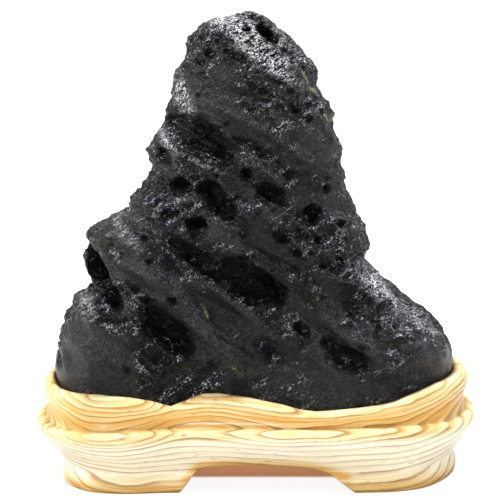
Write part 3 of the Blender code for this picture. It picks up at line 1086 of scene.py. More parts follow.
# What is worn into the stone, with its place in millimetres
HOLLOWS = {
    "great hollow": Hollow(FRONT, -27, 178, 25, 10.5, 21, 12, 0.35),
    "great hollow foot": Hollow(FRONT, -15, 169.5, 8, 4, 15, 5, 0.4),
    "left dimple": Hollow(FRONT, -47, 169, 6.5, 4.5, 40, 6, 0.4),
    "round hole": Hollow(FRONT, -36.5, 154.5, 5.6, 5.4, 0, 13, 0.6),
    "long hole": Hollow(FRONT, -18.3, 146.8, 15, 6, 48, 12, 0.55),
    "small hole": Hollow(FRONT, -4.6, 162, 3, 3, 0, 7, 0.6),
    "breast hollow": Hollow(FRONT, 7.1, 152, 9, 5.5, 30, 8, 0.4),
    "right hollow": Hollow(FRONT, 27.6, 140.5, 6.3, 6, 0, 9, 0.5),
    "middle hole": Hollow(FRONT, -28.6, 135, 6.5, 5.5, 30, 12, 0.5),
    "middle shelf": Hollow(FRONT, -40, 138, 13, 7, 25, 6, 0.35),
    "great pocket": Hollow(FRONT, -2.7, 108.5, 22, 10.5, 31, 15, 0.5),
    "pocket eye": Hollow(FRONT, 9.6, 103, 5.5, 5, 0, 7, 0.4),
    "long trough": Hollow(FRONT, -29.6, 118.5, 22, 6.5, 42, 8, 0.4),
    "upper pair, left": Hollow(FRONT, 12, 131, 4.2, 3.6, 30, 6, 0.5),
    "upper pair, right": Hollow(FRONT, 20.8, 132, 3.4, 3.2, 0, 5, 0.5),
    "left slot": Hollow(FRONT, -77.5, 108.5, 20.5, 5.6, 58, 18, 0.65, -12),
    "low hollow": Hollow(FRONT, -44, 84, 18, 8, 36, 13, 0.5),
    "lobe dip": Hollow(FRONT, -73, 91, 12, 7, 60, 5, 0.1),
    "low pit, left": Hollow(FRONT, 22.4, 84, 6.5, 4, 52, 6, 0.45),
    "low pit, middle": Hollow(FRONT, 35.7, 78, 5, 4, 30, 7, 0.45),
    "low pit, right": Hollow(FRONT, 45, 70, 11.5, 7.5, 27, 10, 0.5),
    "right foot pit": Hollow(FRONT, 62, 58, 8, 5, 12, 7, 0.45),
    "shallow furrow": Hollow(FRONT, 6, 74, 12, 5, 48, 4, 0.1),
    "notch at the rim": Hollow(FRONT, 1.5, 58, 5, 4, 62, 6, 0.4),
    "shoulder slot": Hollow(FRONT, 60, 108, 6.5, 2.6, 42, 7, 0.5, 15),
    "shoulder pit": Hollow(FRONT, 66, 92, 4.6, 3.6, 30, 5, 0.4),
    "shoulder dip": Hollow(FRONT, 46, 89, 11, 8, 60, 4.5, 0.1),
    "crown slot": Hollow(FRONT, 5, 228, 8, 3.4, 48, 7, 0.6, 0, 0.45),
    "crown hole": Hollow(FRONT, -4.5, 230.5, 2.8, 2.2, 20, 4, 0.5, 0, 0.45),
    "brow groove": Hollow(FRONT, -25, 209, 12, 2.4, 24, 3.5, 0.1),
    "back hollow, high": Hollow(BACK, -8, 186, 15, 8, -24, 9, 0.4),
    "back hole, high": Hollow(BACK, 22, 158, 7, 6, -20, 10, 0.5),
    "back pocket": Hollow(BACK, -12, 128, 19, 9, -30, 12, 0.45),
    "back trough": Hollow(BACK, 30, 104, 24, 7, -36, 8, 0.35),
    "back hole, middle": Hollow(BACK, -40, 98, 7, 6, 0, 10, 0.5),
    "back hollow, low": Hollow(BACK, 4, 78, 16, 8, -34, 10, 0.45),
    "back pit, left": Hollow(BACK, 66, 74, 9, 6, -40, 7, 0.4),
    "back pit, right": Hollow(BACK, -72, 76, 8, 6, -30, 7, 0.4),
    "left end hollow": Hollow(LEFT, 4, 86, 9, 6, 30, 6, 0.3),
    "left flank hollow": Hollow(LEFT, -4, 152, 9, 6, 20, 6, 0.35),
    "right flank hollow": Hollow(RIGHT, 6, 148, 11, 6, 10, 7, 0.35),
    "right end hollow": Hollow(RIGHT, -2, 82, 9, 5, -10, 5, 0.3),
}
# What stands out of it, by a negative depth
SWELLINGS = {
    "brow": Hollow(FRONT, -20, 192, 24, 9, 28, -5, 0),
    "breast": Hollow(FRONT, 22, 172, 24, 16, 56, -4, 0),
    "hollow sill": Hollow(FRONT, -31, 168.5, 26, 4, 24, -3.5, 0),
    "thin rib": Hollow(FRONT, -5, 142.5, 18, 3, 56, -3.5, 0),
    "diagonal ridge": Hollow(FRONT, -33, 93, 62, 10, 45, -6.5, 0),
    "trough sill": Hollow(FRONT, -20, 106, 34, 3.6, 40, -3.5, 0),
    "lower ridge": Hollow(FRONT, 46, 84, 36, 9, 43, -3.5, 0),
    "left lobe": Hollow(FRONT, -80, 74, 24, 24, 0, -6, 0, -25),
    "right lobe": Hollow(FRONT, 76, 74, 22, 20, 0, -6, 0, 25),
    "back ridge": Hollow(BACK, 6, 112, 66, 10, -36, -5, 0),
    "back brow": Hollow(BACK, 4, 200, 20, 9, -24, -4, 0),
}
# Small holes on the front: across, height, radius and depth
SMALL_HOLES = (
    (-22.2, 218.5, 2.6, 3.5), (-19.3, 160, 1.7, 3.5),
    (35, 152.4, 2, 3.5), (-9.8, 149.6, 2.2, 4), (19.8, 122.6, 2.6, 4.5),
    (42, 135.5, 2.2, 3.5), (47.8, 134.6, 2, 3.5), (41.4, 117.6, 2.6, 4),
    (-41.1, 100, 2.4, 6), (-94.5, 90.5, 1.8, 3), (-6, 132.6, 2.2, 4), (76.8, 63, 1, 2.5),
    (85, 81, 4, 3), (31, 128, 2, 3.5), (-33, 121, 2.4, 4), (14, 146, 1.6, 3),
    (-52, 118, 1.8, 3), (-12, 96, 1.6, 3), (33, 100, 2, 3), (52, 76, 1.8, 3),
    (-63, 66, 2, 3), (-22, 68, 2.2, 4), (-14, 186, 1.4, 2.5), (12, 204, 1.4, 2.5),
    (26, 188, 1.8, 3), (1, 174, 1.4, 2.5), (-28, 199, 1.4, 2.5),
)
# Stretches of the front that are rough (positive) or worn smooth (negative)
TEXTURE_PATCHES = front_patches(
    (4, 222, 30, 20, 25, 0.5, 0.8), (14, 200, 26, 8, 22, 0.5, 0.45),
    (-22, 196, 26, 12, 26, 0.5, -0.55), (-10, 187, 22, 8, 26, 0.5, -0.5),
    (12, 178, 24, 14, 50, 0.5, -0.25), (-78, 70, 26, 24, 0, 0.5, -0.8),
    (-36, 96, 60, 9, 45, 0.5, -0.6), (62, 98, 34, 14, 40, 0.5, 0.7),
    (46, 88, 30, 9, 43, 0.5, -0.3), (84, 62, 16, 12, 0, 0.5, -0.4),
    (-40, 62, 30, 14, 20, 0.5, 0.5), (-75, 92, 16, 12, 40, 0.5, 0.6),
    (-48, 150, 26, 12, 36, 0.5, 0.45), (30, 122, 30, 12, 40, 0.5, 0.3),
)
# Painted highlights: whitish streaks painted where the top and side lights catch the stone, and
# how strongly
PAINTED_HIGHLIGHT_PATCHES = front_patches(
    (-37, 199, 19, 7, 66, 0.1, 0.9), (-44, 176, 12, 5, 60, 0.1, 0.7),
    (-6, 231, 26, 6, 14, 0.3, 1.0), (2, 221, 26, 8, 36, 0.3, 1.0), (12, 210, 18, 4, 28, 0.1, 0.7),
    (64, 103, 24, 9, 40, 0.3, 1.0), (84, 86, 14, 7, 45, 0.2, 0.7),
    (-66, 133, 20, 4, 40, 0.1, 0.5), (-84, 96, 10, 6, 60, 0.1, 0.5),
    (-30, 168, 24, 2.2, 24, 0.1, 0.35),
)
# Painted shade: places painted dark round the great hollows and in the crown's slot and hole, and
# how strongly
PAINTED_SHADE_PATCHES = front_patches(
    (-27, 179, 30, 12, 21, 0.4, 1.0), (-22, 153, 34, 12, 36, 0.3, 0.7),
    (14, 150, 30, 9, 36, 0.3, 0.7), (-32, 134, 26, 9, 32, 0.3, 0.8),
    (-12, 112, 38, 13, 34, 0.4, 0.8), (34, 128, 26, 9, 36, 0.3, 0.6),
    (-48, 80, 26, 11, 38, 0.4, 0.8), (46, 72, 20, 10, 30, 0.3, 0.6),
    (-52, 60, 22, 8, 16, 0.3, 0.6), (14, 198, 24, 6, 26, 0.2, 0.5),
    (-76, 100, 12, 6, 58, 0.3, 0.8), (5, 228, 8.2, 3.5, 48, 0.6, 1.0, 0.6),
    (-4.5, 230.5, 3.0, 2.4, 20, 0.6, 1.0, 0.6),
)
# Veins that look like old brass
GILT_VEINS = front_patches(
    (24, 208, 7, 0.8, 62, 0.1, 1), (28, 201, 4, 1.0, 40, 0.1, 1), (35, 187, 3, 0.9, 70, 0.1, 1),
    (37, 184, 3, 0.8, 40, 0.1, 1), (-25, 95, 6, 0.6, 62, 0.1, 1), (-10, 66, 4, 0.8, 40, 0.1, 1),
)


@dataclass
class Stone:
    """The stone: one natural piece, black and worn along dipping beds."""

    left_edge: tuple = (
        (30, -84), (33, -92), (40, -98), (47, -99.5), (62, -102), (76, -99.6), (86, -95.4),
        (95, -91), (99, -84), (101, -80), (105, -81.5), (110, -86), (115, -88.4),
        (123, -87), (130, -83.7), (133, -77), (137, -65), (146, -61), (154, -54),
        (160, -52), (170, -53), (176, -50.5), (182, -46), (194, -42), (206, -38.5),
        (214, -35.5), (224, -31.5), (229, -28), (233, -25), (236.5, -18.5), (239.5, -8.5),
    )
    right_edge: tuple = (
        (30, 84), (33, 91), (40, 97.5), (47, 99.8), (59, 101.2), (66, 100.2), (76, 94.5),
        (84, 86), (93, 72.5), (97, 69), (101, 65), (106, 61), (110, 57.5), (115, 56),
        (124, 57.5), (130, 55), (138, 51.5), (146, 48), (154, 44), (162, 41), (178, 40.5),
        (188, 37.5), (193, 35), (200, 30), (210, 29.3), (217, 22), (224, 14.5), (231, 8.5),
        (236, 3), (239.5, -2.5),
    )
    depths: tuple = (
        (30, -32, 34), (33, -39, 41), (40, -43, 45), (50, -44, 46), (62, -44, 45),
        (80, -42, 43), (100, -39, 40), (120, -36, 38), (140, -34, 36), (160, -31, 33),
        (180, -29, 30), (200, -26, 26), (214, -22, 21), (226, -15, 15), (233, -10, 9),
        (239.5, -5, 3),
    )
    footprint: tuple = (
        (-100, 4), (-98.5, -16), (-93, -33), (-79, -43), (-62, -41.5), (-40, -36), (-18, -36),
        (14, -37.5), (38, -37), (58, -33.5), (76, -29.5), (90, -21), (99, -5), (102, 15),
        (99, 35), (83, 45), (50, 44), (12, 41), (-24, 42), (-58, 40), (-82, 36), (-96, 22),
    )
    base: float = 30.0
    top: float = 239.5
    footprint_fade: tuple = (62.0, 125.0)
    roundness: float = 2.35
    stations: int = 160
    section_step: float = 2.0
    dip_heights: tuple = (70.0, 205.0)
    dip_angles: tuple = (40.0, 23.0)
    bed_stretch: float = 3.4
    lumps: Layer = Layer(40.0, 3.2, 3.1)
    beds: Layer = Layer(13.0, 5.2, 7.7)
    bed_mean: float = 0.21
    knuckles: Layer = Layer(9.0, 1.4, 11.3)
    ledges: Layer = Layer(5.5, 2.6, 51.7)
    plain_ledges: float = 0.4
    steps: tuple = (6.4, 1.1)
    step_lip: float = 0.86
    step_waver: Layer = Layer(12.0, 1.6, 41.1)
    step_places: Layer = Layer(15.0, 1.0, 43.7)
    crumbs: Layer = Layer(2.6, 0.9, 61.9)
    plain_crumbs: float = 0.25
    seat_fade: tuple = (56.0, 70.0)
    hollow_lift: float = 0.3
    hollow_wobble: Layer = Layer(8.0, 0.3, 5.9)
    hole_wobble: Layer = Layer(3.0, 0.25, 71.3)
    hole_stretch: float = 1.15
    hole_dip: float = 30
    hole_lip: float = 0.45
    form_voxel: float = 1.4
    skin_voxel: float = 1.0
    most_triangles: int = 190000
    pit_spacings: tuple = (6.5, 3.6)
    pit_depths: tuple = (2.0, 1.2)
    seed: float = 4.0
    rough_mean: float = 0.48
    rough_beds: Layer = Layer(11.0, 0.75, 21.3)
    rough_spots: Layer = Layer(5.0, 0.35, 33.1)
    rough_top: float = 0.22
    rough_inside: float = 0.5
    rough_depth: tuple = (2, 6)
    # Depths over which the hollows get painted shade
    dark_depth: tuple = (2.5, 8.5)
    proud_depth: tuple = (1.5, -3.5)
    # Where the painted highlights fade: away from the front and on skin that faces the ends
    pale_depth: tuple = (16, -6)
    pale_ends: tuple = (0.7, 0.95)
    pale_end_loss: float = 0.8

    def section(self, height: float, count: int, clearance: float = 0.0) -> np.ndarray:
        """Level section through the plain form: its footprint low down, rounder above.

        Args:
            height: Height of the section.
            count: Number of points.
            clearance: Distance added all round.

        Returns:
            Points with x and y.
        """
        round_shape = superellipse(self.roundness, count)
        foot_shape = to_unit(closed_curve(self.footprint, count))
        rounding = smoothstep(self.footprint_fade[0], self.footprint_fade[1], height)
        shape = foot_shape * (1 - rounding) + round_shape * rounding
        left = edge_at(self.left_edge, height)
        right = edge_at(self.right_edge, height)
        front = edge_at(self.depths, height, 1)
        back = edge_at(self.depths, height, 2)
        section = np.stack([
            (left + right) / 2 + shape[:, 0] * (right - left) / 2,
            (front + back) / 2 + shape[:, 1] * (back - front) / 2,
        ], axis=1)
        return section + outward_normals(section) * clearance

    def plain_form(self) -> bpy.types.Object:
        """The stone's form before it is worn."""
        heights = np.append(np.arange(self.base, self.top, self.section_step), self.top)
        rings = np.array([
            np.column_stack([
                self.section(height, self.stations), np.full(self.stations, height)])
            for height in heights
        ])
        form = mesh_from_rings("rock_surface", rings)
        remesh(form, self.form_voxel)
        return form

    def bed_frame(self, points: np.ndarray) -> np.ndarray:
        """Points along a bed, into the stone and across the beds."""
        dip = np.radians(np.interp(points[:, 2], self.dip_heights, self.dip_angles))
        along = points[:, 0] * np.cos(dip) - points[:, 2] * np.sin(dip)
        across = points[:, 0] * np.sin(dip) + points[:, 2] * np.cos(dip)
        return np.stack([along / self.bed_stretch, points[:, 1] / 1.5, across], axis=1)

    def worn_height(self, points: np.ndarray) -> np.ndarray:
        """How far the worn surface stands out of the plain form at each point."""
        beds = self.bed_frame(points)
        ridges = self.beds.ridges(beds, self.bed_mean)
        return self.lumps.at(points) + ridges + self.knuckles.at(beds)

    def free_share(self, points: np.ndarray) -> np.ndarray:
        """How freely each point may move: not at all in the seat, fully above it."""
        return smoothstep(self.seat_fade[0], self.seat_fade[1], points[:, 2])

    def wear(self, form: bpy.types.Object) -> None:
        """Give the plain form its swellings, its ridges along the beds and its hollows."""
        points = points_of(form)
        normals = normals_of(form)
        wobble = self.hollow_wobble.at(points)
        shift = normals * self.worn_height(points)[:, None]
        for swelling in SWELLINGS.values():
            shift += swelling.shift(points, normals, wobble * 0, 0.0)
        for hollow in HOLLOWS.values():
            shift += hollow.shift(points, normals, wobble, self.hollow_lift)
        set_points(form, points + shift * self.free_share(points)[:, None])
        remesh(form, self.skin_voxel)
        keep_main_shell(form)

    def roughness_of(self, points: np.ndarray, normals: np.ndarray) -> np.ndarray:
        """How rough the skin is at each point, from 0 on worn ribs to 1 in wet hollows.

        Args:
            points: Points in millimetres.
            normals: Their normals.

        Returns:
            One value for each point.
        """
        beds = self.bed_frame(points)
        value = self.rough_mean + self.rough_beds.at(beds) + self.rough_spots.at(points)
        value += self.rough_top * normals[:, 2]
        still = np.zeros(len(points))
        for patch, amount in TEXTURE_PATCHES:
            value += amount * patch.share(points, normals, still)
        return np.clip(value, 0, 1)

    def roughen(self, form: bpy.types.Object) -> None:
        """Add the small holes, ledges and crumbs of the stone's skin."""
        points = points_of(form)
        normals = normals_of(form)
        free = self.free_share(points)
        rough = self.roughness_of(points, normals)
        beds = self.bed_frame(points)
        spacing, step_height = self.steps
        level = beds[:, 2] / spacing + self.step_waver.at(beds)
        within = level - np.floor(level)
        steps = (within - 0.5) * smoothstep(1, self.step_lip, within)
        bold = smoothstep(-0.15, 0.3, self.step_places.at(beds))
        height = self.ledges.ridges(beds, self.bed_mean) * (
            self.plain_ledges + (1 - self.plain_ledges) * rough)
        height += steps * step_height * bold
        height += self.crumbs.at(points) * (self.plain_crumbs + (1 - self.plain_crumbs) * rough)
        shift = normals * height[:, None]
        wobble = self.hole_wobble.at(points)
        for across, level, radius, depth in SMALL_HOLES:
            hole = Hollow(
                FRONT, across, level, radius * self.hole_stretch, radius, self.hole_dip,
                depth, self.hole_lip)
            shift += hole.shift(points, normals, wobble, self.hollow_lift)
        set_points(form, points + shift * free[:, None])

    def pit_tree(self, finish: bpy.types.Material) -> bpy.types.NodeTree:
        """Geometry Nodes tree that sinks small round pits into rough skin.

        Args:
            finish: Material that the skin gets.

        Returns:
            The tree, with named inputs for spacings, depths and the seed.
        """
        tree = bpy.data.node_groups.new("small pits", "GeometryNodeTree")
        face = tree.interface
        face.new_socket("Geometry", in_out="INPUT", socket_type="NodeSocketGeometry")
        for name in ("Wide Spacing", "Wide Depth", "Close Spacing", "Close Depth", "Seed"):
            face.new_socket(name, in_out="INPUT", socket_type="NodeSocketFloat")
        face.new_socket("Geometry", in_out="OUTPUT", socket_type="NodeSocketGeometry")
        sheet = Sheet(tree)
        source = sheet.node("NodeGroupInput").outputs
        rough = sheet.node("GeometryNodeInputNamedAttribute", data_type="FLOAT")
        rough.inputs["Name"].default_value = "rough"
        place = sheet.vector_math(
            "SCALE", sheet.node("GeometryNodeInputPosition").outputs[0], 1 / MM)
        place = sheet.vector_math("MULTIPLY", place, (0.8, 1.0, 1.0))
        normal = sheet.node("GeometryNodeInputNormal").outputs[0]
        geometry = source["Geometry"]
        total = None
        for size in ("Wide", "Close"):
            cells = sheet.node("ShaderNodeTexVoronoi", voronoi_dimensions="4D", feature="F1")
            sheet.feed(cells.inputs["Vector"], place)
            sheet.feed(cells.inputs["W"], source["Seed"])
            sheet.feed(cells.inputs["Scale"], sheet.over(1.0, source[size + " Spacing"]))
            own = sheet.node("FunctionNodeSeparateColor")
            sheet.feed(own.inputs[0], cells.outputs["Color"])
            edge = sheet.ranged(own.outputs["Red"], 0.0, 1.0, 0.25, 0.5, smooth=False)
            bowl = sheet.ranged(sheet.minus(edge, cells.outputs["Distance"]), 0.0, 0.22)
            chosen = sheet.math("GREATER_THAN", own.outputs["Green"], 0.45)
            depth = sheet.times(bowl, chosen, source[size + " Depth"])
            total = depth if total is None else sheet.plus(total, depth)
        total = sheet.times(total, sheet.ranged(rough.outputs["Attribute"], 0.25, 0.75))
        offset = sheet.vector_math("SCALE", normal, sheet.times(total, -MM))
        moved = sheet.node("GeometryNodeSetPosition")
        sheet.feed(moved.inputs["Geometry"], geometry)
        sheet.feed(moved.inputs["Offset"], offset)
        real = sheet.node("GeometryNodeRealizeInstances")
        sheet.feed(real.inputs["Geometry"], moved.outputs["Geometry"])
        dressed = sheet.node("GeometryNodeSetMaterial")
        sheet.feed(dressed.inputs["Geometry"], real.outputs["Geometry"])
        dressed.inputs["Material"].default_value = finish
        target = sheet.node("NodeGroupOutput")
        sheet.feed(target.inputs["Geometry"], dressed.outputs["Geometry"])
        return tree

    def sink_pits(self, form: bpy.types.Object, finish: bpy.types.Material) -> None:
        """Run the pit tree on the stone's skin and keep the plain mesh that it gives."""
        tree = self.pit_tree(finish)
        modifier = form.modifiers.new("small pits", "NODES")
        modifier.node_group = tree
        values = {
            "Wide Spacing": self.pit_spacings[0], "Wide Depth": self.pit_depths[0],
            "Close Spacing": self.pit_spacings[1], "Close Depth": self.pit_depths[1],
            "Seed": self.seed,
        }
        for item in tree.interface.items_tree:
            if item.in_out == "INPUT" and item.name in values:
                modifier[item.identifier] = values[item.name]
        apply_modifiers(form)

    def thin_out(self, form: bpy.types.Object) -> None:
        """Bring the skin under its most triangles."""
        count = sum(len(face.vertices) - 2 for face in form.data.polygons)
        if count <= self.most_triangles:
            return
        modifier = form.modifiers.new("thin out", "DECIMATE")
        modifier.ratio = self.most_triangles / count
        apply_modifiers(form)

    def mark(self, form: bpy.types.Object, plain: BVHTree) -> None:
        """Store how rough, how deep and how proud the skin is, where shade and highlights are
        painted, and where veins are gilt, for its material.

        Args:
            form: The finished skin.
            plain: The unworn form, to measure depth from.
        """
        points = points_of(form)
        normals = normals_of(form)
        depth = np.empty(len(points))
        for index, point in enumerate((points * MM).tolist()):
            place, normal, _, distance = plain.find_nearest(point)
            inside = (Vector(point) - place).dot(normal) < 0
            depth[index] = (distance if inside else -distance) / MM
        form.data.attributes.remove(form.data.attributes["rough"])
        rough = self.roughness_of(points, normals)
        still = np.zeros(len(points))
        # Painted highlights, strongest on the front and weaker on skin that faces the ends
        facing = smoothstep(*self.pale_depth, points[:, 1])
        ends = smoothstep(*self.pale_ends, np.abs(normals[:, 0]))
        facing = facing * (1 - self.pale_end_loss * ends)
        painted_highlight = sum(
            (1 - smoothstep(patch.lip, 1, patch.reach(points))) * facing * amount
            for patch, amount in PAINTED_HIGHLIGHT_PATCHES)
        gilt = sum(
            vein.share(points, normals, still) * amount for vein, amount in GILT_VEINS)
        # Painted shade round the great hollows
        painted_hollow_shade = np.max([
            patch.share(points, normals, still) * amount for patch, amount in PAINTED_SHADE_PATCHES
        ], axis=0)
        marks = {
            "rough": rough + self.rough_inside * smoothstep(*self.rough_depth, depth),
            "depth": smoothstep(*self.dark_depth, depth),
            "proud": smoothstep(*self.proud_depth, depth),
            "painted_hollow_shade": painted_hollow_shade, "painted_highlight": painted_highlight, "gilt": gilt,
        }
        for name, values in marks.items():
            set_attribute(form, name, np.clip(values, 0, 1))

    def build(self, finish: bpy.types.Material, shift: np.ndarray) -> bpy.types.Object:
        """Make the whole stone.

        Args:
            finish: Its material.
            shift: Move from the working origin to the model's, in millimetres.

        Returns:
            The finished piece.
        """
        form = self.plain_form()
        graph = bpy.context.evaluated_depsgraph_get()
        plain = BVHTree.FromObject(form, graph)
        self.wear(form)
        self.roughen(form)
        set_attribute(
            form, "rough",
            self.roughness_of(points_of(form), normals_of(form))
            * self.free_share(points_of(form)))
        self.sink_pits(form, finish)
        self.thin_out(form)
        self.mark(form, plain)
        set_points(form, points_of(form) + shift)
        form.data.materials.clear()
        form.data.materials.append(finish)
        form.data.shade_smooth()
        return form


@dataclass
class Stand:
    """The carved stand: feet, waist, belt, and a collar that follows the stone."""

    stone: Stone
    foot_plan: tuple = (
        (-98, 4), (-97, -11), (-92.5, -21), (-82, -29.5), (-65, -32.5), (-44, -30.5), (-18, -30),
        (14, -31), (38, -31), (58, -30), (72, -28), (85.3, -21.8), (95.3, -9.7), (102.8, 9),
        (102, 29), (84, 38), (50, 38), (12, 35), (-24, 36), (-58, 35), (-80, 31), (-94, 19),
    )
    belt_overhang: float = 8.2
    end_overhang: float = 2.6
    foot_profile: tuple = (
        (0, -2.8, 0), (0, -0.8, 1.3), (0, 0.2, 4.6), (0, -0.6, 8), (0, -1.9, 11),
        (0.13, -1.2, 14.6), (0.36, -0.4, 19.4), (0.64, 0, 24.4), (0.86, 0, 28.4),
        (0.97, 0, 31.2), (1, 0, 33.4),
    )
    belt_profile: tuple = ((8.2, 33.4), (7.3, 35), (5.2, 35.9), (3.7, 36.2))
    crease_height: float = 36.2
    collar_profile: tuple = (
        (3.7, 0), (2.7, 0.1), (2.4, 0.3), (3.3, 0.5), (4.3, 0.66), (4.1, 0.8), (3.2, 0.92),
        (2.1, 0.985), (1.1, 1.0),
    )
    rim_front: tuple = (
        (-107, 55.5), (-88, 54.8), (-76, 54.9), (-62, 53), (-52, 50.7), (-42, 47.2),
        (-35, 49.8), (-26, 53.6), (-18, 53.9), (-4, 51.8), (13.5, 48.2), (22, 45.8),
        (30, 44.8), (50, 46), (62, 46.9), (69, 48.4), (76, 51), (84, 53.8), (92, 55.7),
        (107, 56.2),
    )
    rim_back: tuple = (
        (-107, 55.5), (-82, 57), (-54, 53), (-26, 56), (2, 53), (30, 56.5), (56, 52.5),
        (82, 55.5), (107, 56.2),
    )
    stations: int = 560
    solid_stations: int = 56
    seat_clearance: float = 0.5
    seat_floor: float = 29.4
    underside: float = 15.0
    underside_inset: float = 23.0
    arch: tuple = (
        (0, 0), (4, 5.5), (8.5, 11), (14, 13.6), (26, 14.6), (42, 15), (56, 14.5),
        (67, 12.8), (75.5, 9.6), (83, 4.2), (88, 0),
    )
    arch_start: float = -38.0
    foot_edge: float = 1.2
    edge_rows: int = 9
    side_rows: int = 38
    seat_levels: tuple = (28.0, 64.0, 2.0)
    seat_drops: tuple = (0.4, 1.4, 3.0, 6.0, 10.0, 14.0, 40.0)
    under_rows: int = 4
    # Rows and spread of the painted shade in the cove
    cove_rows: int = 20
    cove_spread: float = 9.0
    contact_rows: int = 8
    toe_warmth: float = 0.95
    collar_warmth: float = 0.16

    def plan(self, out: float, count: int) -> np.ndarray:
        """The stone's footprint moved outwards, and further at the two ends.

        Args:
            out: Distance outwards.
            count: Number of points.

        Returns:
            Points with x and y.
        """
        footprint = closed_curve(self.stone.footprint, count)
        normals = outward_normals(footprint)
        return footprint + normals * (out + self.end_overhang * normals[:, :1] ** 2)

    def model_shift(self) -> np.ndarray:
        """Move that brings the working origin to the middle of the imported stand."""
        plan = self.plan(self.belt_overhang, self.solid_stations)
        low, high = (np.array(corner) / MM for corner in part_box("stand"))
        middle = (low + high) / 2
        own = (plan.min(axis=0) + plan.max(axis=0)) / 2
        return np.array([middle[0] - own[0], middle[1] - own[1], low[2]])

    def arch_height(self, plan: np.ndarray) -> np.ndarray:
        """Height of the underside's edge at each point of a plan: 0 on a foot."""
        arch = smooth_profile(self.arch, 6)
        along = plan[:, 0] - self.arch_start
        return np.interp(along, arch[:, 0], arch[:, 1], left=0, right=0)

    def rim_height(self, plan: np.ndarray) -> np.ndarray:
        """Height of the collar's rim at each point of a plan."""
        front = edge_at(self.rim_front, plan[:, 0])
        back = edge_at(self.rim_back, plan[:, 0])
        share = smoothstep(-6, 22, plan[:, 1])
        return front * (1 - share) + back * share

    def foot_rings(self) -> list[np.ndarray]:
        """Rings from the middle of the underside, round the feet's edge and up to the belt."""
        count = self.stations
        feet = closed_curve(self.foot_plan, count)
        foot_normals = outward_normals(feet)
        belt = self.plan(self.belt_overhang, count)
        footprint = closed_curve(self.stone.footprint, count)
        inner = footprint - outward_normals(footprint) * self.underside_inset
        inner_arch = self.arch_height(inner)
        ceiling = np.full(count, self.underside)
        rings = [np.column_stack([inner * 0.5, ceiling]), np.column_stack([inner, ceiling])]
        for share in (0.5, 1.0):
            level = ceiling + (np.minimum(inner_arch, ceiling) - ceiling) * share
            rings.append(np.column_stack([inner, level]))
        outer_arch = self.arch_height(feet)
        profile = smooth_profile(self.foot_profile, 6)
        top = profile[-1, 2]
        steps = np.concatenate([
            np.linspace(0, 0.12, self.edge_rows), np.linspace(0.15, 1, self.side_rows)])
        for step in steps:
            level = outer_arch + (top - outer_arch) * step
            share = np.interp(level, profile[:, 2], profile[:, 0])[:, None]
            out = np.interp(level, profile[:, 2], profile[:, 1])
            low = np.clip(1 - (level - outer_arch) / self.foot_edge, 0, 1)
            out = out - self.foot_edge * (1 - np.sqrt(1 - low ** 2)) * (outer_arch > 0)
            plan = feet * (1 - share) + belt * share + foot_normals * out[:, None]
            rings.append(np.column_stack([plan, level]))
        return rings

    def collar_rings(self) -> list[np.ndarray]:
        """Rings over the belt's shoulder, up the collar and down into the seat."""
        count = self.stations
        rings = []
        for out, height in smooth_profile(self.belt_profile, 5)[1:]:
            rings.append(np.column_stack([self.plan(out, count), np.full(count, height)]))
        for out, share in smooth_profile(self.collar_profile, 5)[1:]:
            plan = self.plan(out, count)
            level = self.crease_height + share * (self.rim_height(plan) - self.crease_height)
            rings.append(np.column_stack([plan, level]))
        rim = rings[-1][:, 2]
        heights = np.arange(*self.seat_levels)
        sections = np.array([
            self.stone.section(max(height, self.stone.base), count, self.seat_clearance)
            for height in heights
        ])
        for drop in self.seat_drops:
            level = np.maximum(rim - drop, self.seat_floor)
            place = (level - heights[0]) / self.seat_levels[2]
            index = np.clip(place.astype(int), 0, len(heights) - 2)
            part = (place - index)[:, None]
            station = np.arange(count)
            plan = sections[index, station] * (1 - part) + sections[index + 1, station] * part
            rings.append(np.column_stack([plan, level]))
        return rings

    def build(self, finish: bpy.types.Material, shift: np.ndarray) -> bpy.types.Object:
        """Make the whole stand.

        Args:
            finish: Its material.
            shift: Move from the working origin to the model's, in millimetres.

        Returns:
            The finished piece.
        """
        foot_rings = self.foot_rings()
        collar_rings = self.collar_rings()
        rings = np.array(foot_rings + collar_rings)
        piece = mesh_from_rings("stand_surface", rings)
        row = np.arange(len(rings))
        cove_row = len(foot_rings) + self.cove_rows
        share_up = (row - self.under_rows) / (len(foot_rings) - self.under_rows)
        under = row < self.under_rows
        toe = smoothstep(0.3, 0.1, share_up) * ~under
        marks = {
            # Painted shade in the concave cove under the collar, and warmth at the toes
            "cove": np.exp(-((row - cove_row) / self.cove_spread) ** 2) + self.toe_warmth * toe,
            # Painted shade on the seat's rows round the stone
            "contact": (row > len(rings) - self.contact_rows).astype(float),
            # Painted shade on the underside rings
            "under": under.astype(float),
            # Painted light: paler where the waist is lit from below and in front
            "waist": smoothstep(0.12, 0.4, share_up) * smoothstep(1.02, 0.8, share_up),
            "collar": self.collar_warmth * (row > cove_row),
        }
        for name, values in marks.items():
            spread = np.append(np.repeat(values, self.stations), [values[0], values[-1]])
            set_attribute(piece, name, spread)
        set_points(piece, points_of(piece) + shift)
        piece.data.materials.append(finish)
        piece.data.shade_smooth()
        return piece


@dataclass(frozen=True)
class Softbox:
    """A soft studio light that points at the stone."""

    name: str
    place: tuple
    width: float
    height: float
    watts: float
    tint: tuple = (1, 1, 1)

    def hang(self, aim: Vector) -> None:
        """Put the light up, turned to a point in metres."""
        light = bpy.data.lights.new(self.name, "AREA")
        light.shape = "RECTANGLE"
        light.size = self.width
        light.size_y = self.height
        light.energy = self.watts
        light.color = self.tint
        lamp = bpy.data.objects.new(self.name, light)
        lamp.location = self.place
        lamp.rotation_euler = (aim - Vector(self.place)).to_track_quat("-Z", "Y").to_euler()
        bpy.context.scene.collection.objects.link(lamp)


